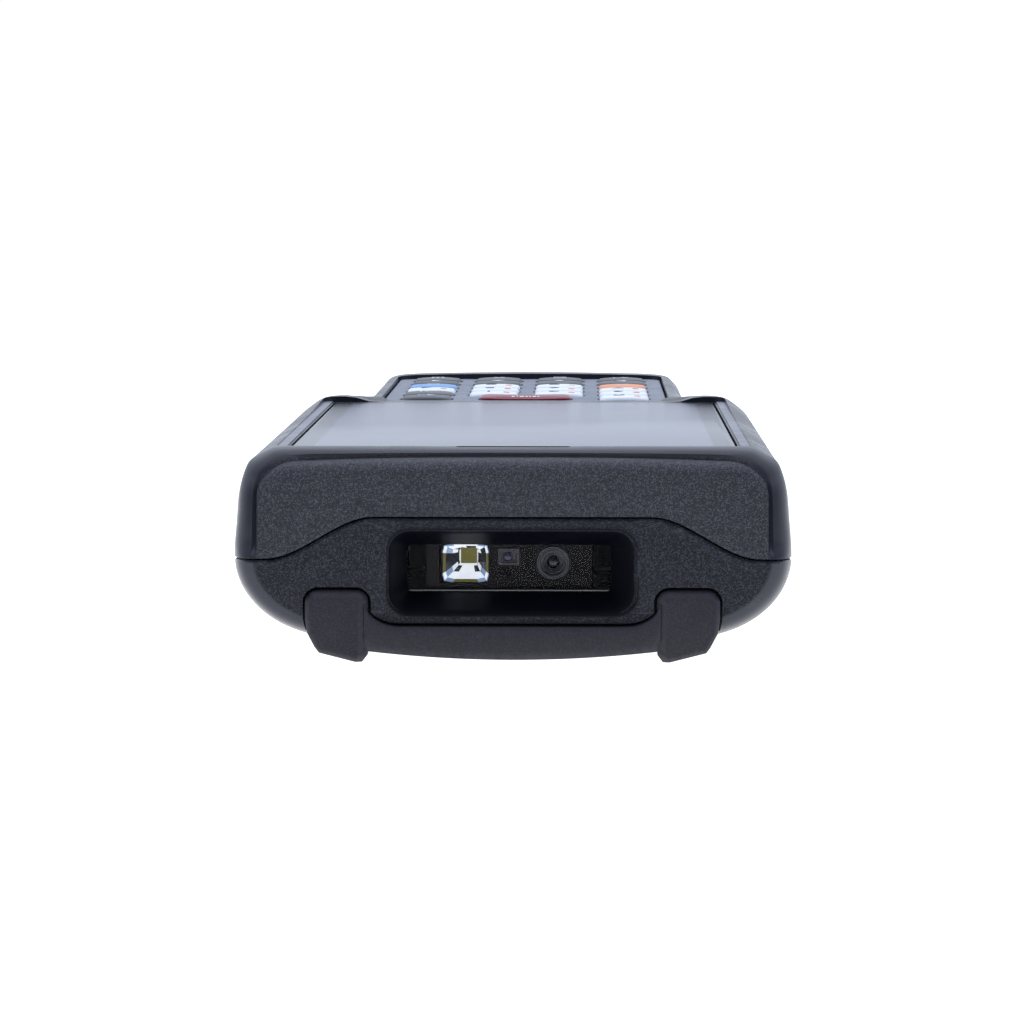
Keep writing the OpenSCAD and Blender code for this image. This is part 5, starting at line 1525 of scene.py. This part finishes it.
BOARD = moulded("circuit_board", (0.01, 0.07, 0.03), rough=0.35, grain=0.2, scale=3000, sparkle=0.5)
MAT_RUBBER = moulded("mat_rubber", (0.09, 0.09, 0.1), rough=0.6, grain=0.2, scale=4000, sparkle=0.05)
LCD_BACK = moulded("lcd_back", (0.1, 0.11, 0.13), rough=0.3, grain=0.1, sparkle=0.05)
BATTERY = moulded("battery_wrap", (0.07, 0.075, 0.075), rough=0.5, grain=0.3, scale=3000, sparkle=0.15)
FRAME_METAL = metal_material("frame_metal", (0.62, 0.63, 0.65), 0.35, (1.0, 12.0, 1.0))
SHIELD = metal_material("shield_metal", (0.75, 0.76, 0.78), 0.3)
CONTACT = metal_material("contact_metal", (0.85, 0.62, 0.25), 0.25)
BRASS = metal_material("brass_insert_metal", (0.72, 0.52, 0.22), 0.3, (1.0, 1.0, 8.0))
SCREW = metal_material("screw_metal", (0.05, 0.05, 0.055), 0.35)
NODE_LOOKS = {
    "housing_seal": SEAL_RUBBER, "display_seal": SEAL_RUBBER, "window_gasket": SEAL_RUBBER,
    "lcd_module": LCD_BACK, "mid_frame": FRAME_METAL, "main_board": BOARD, "board_shields": SHIELD,
    "key_mat": MAT_RUBBER, "keypad_board": BOARD, "key_domes": SHIELD, "scan_window": PANE,
    "earpiece": ENGINE_BLACK, "earpiece_mesh": mesh_material(), "loudspeaker": ENGINE_BLACK,
    "battery_pack": BATTERY, "battery_contacts": CONTACT, "port_connector": SHIELD, "strap_inserts": BRASS,
    "side_switches": CONTACT, "housing_screws": SCREW}
for node, material in NODE_LOOKS.items():
    mesh = frame["nodes"][node].data
    mesh.materials.clear()
    mesh.materials.append(material)
print("carried-over nodes with a material:", len(NODE_LOOKS))

# %% [markdown]
# ## Camera, light and floor
# The camera stands low in front of the scan end, with a long lens, so that the display and the keypad run
# away from it at a shallow angle. The room is a soft tent: bright above and behind, darker at the camera's
# side, which leaves the face dark and lets the glass mirror the bright side. The tent is the world itself,
# as a gradient by direction, because a few lamps would show as separate spots in the glass.

# %% Camera
camera_data = bpy.data.cameras.new("camera")
camera_data.lens, camera_data.sensor_width = 140.87, 36.0
camera_data.clip_start, camera_data.clip_end = 0.05, 50.0
camera = bpy.data.objects.new("camera", camera_data)
camera.location = (9.6 * MM, -654.5 * MM, 69.5 * MM)
camera.rotation_euler = (math.radians(90 - 5.02), 0.0, math.radians(1.0))
bpy.context.scene.collection.objects.link(camera)
bpy.context.scene.camera = camera
bpy.context.scene.view_settings.view_transform = "Standard"


# %% World
def make_world():
    """White to the camera; for light and reflections a gradient from dark in front to bright behind."""
    world = bpy.data.worlds.new("tent")
    bpy.context.scene.world = world
    world.use_nodes = True
    tree = world.node_tree
    tree.nodes.clear()
    split = tree.nodes.new("ShaderNodeSeparateXYZ")
    tree.links.new(tree.nodes.new("ShaderNodeTexCoord").outputs["Generated"], split.inputs[0])
    ahead = remap(tree, split.outputs["Y"], -0.75, 0.45, FRONT_LIGHT, BACK_LIGHT)
    over = remap(tree, split.outputs["Z"], 0.25, 0.9, 0.0, TOP_LIGHT)
    side = remap(tree, math_node(tree, "ABSOLUTE", split.outputs["X"]), 0.55, 0.95, 0.0, SIDE_LIGHT)
    total = math_node(tree, "ADD", math_node(tree, "ADD", ahead, over), side)
    light, seen = tree.nodes.new("ShaderNodeBackground"), tree.nodes.new("ShaderNodeBackground")
    light.inputs["Color"].default_value = (0.8, 0.87, 1.0, 1.0)
    tree.links.new(total, light.inputs["Strength"])
    seen.inputs["Strength"].default_value = 1.02
    seen.inputs["Color"].default_value = (1.0, 1.0, 1.0, 1.0)
    either, out = tree.nodes.new("ShaderNodeMixShader"), tree.nodes.new("ShaderNodeOutputWorld")
    tree.links.new(tree.nodes.new("ShaderNodeLightPath").outputs["Is Camera Ray"], either.inputs[0])
    tree.links.new(light.outputs[0], either.inputs[1])
    tree.links.new(seen.outputs[0], either.inputs[2])
    tree.links.new(either.outputs[0], out.inputs[0])


FRONT_LIGHT, BACK_LIGHT, TOP_LIGHT, SIDE_LIGHT = 0.02, 0.93, 1.5, 0.3
make_world()


# %% Floor
def make_floor():
    """Wide plain table top, nearly white, with a little glow of its own so that it runs into the backdrop."""
    size = 6000.0
    floor = raw_object("floor", [[-size, -size, 0], [size, -size, 0], [size, size, 0], [-size, size, 0]],
                       [[0, 1, 2, 3]])
    material = bpy.data.materials.new("table_top")
    material.use_nodes = True
    tree = material.node_tree
    shader = tree.nodes["Principled BSDF"]
    uneven = place_group(tree, UNEVEN, Scale=3.0)
    tint = mix_colour(tree, uneven.outputs["Value"], (0.3, 0.3, 0.31, 1.0), (0.33, 0.33, 0.33, 1.0))
    tree.links.new(tint, shader.inputs["Base Color"])
    shader.inputs["Roughness"].default_value = 0.9
    shader.inputs["Specular IOR Level"].default_value = 0.1
    shader.inputs["Emission Color"].default_value = (1.0, 1.0, 1.0, 1.0)
    shader.inputs["Emission Strength"].default_value = 1.3
    floor.data.materials.append(material)


make_floor()
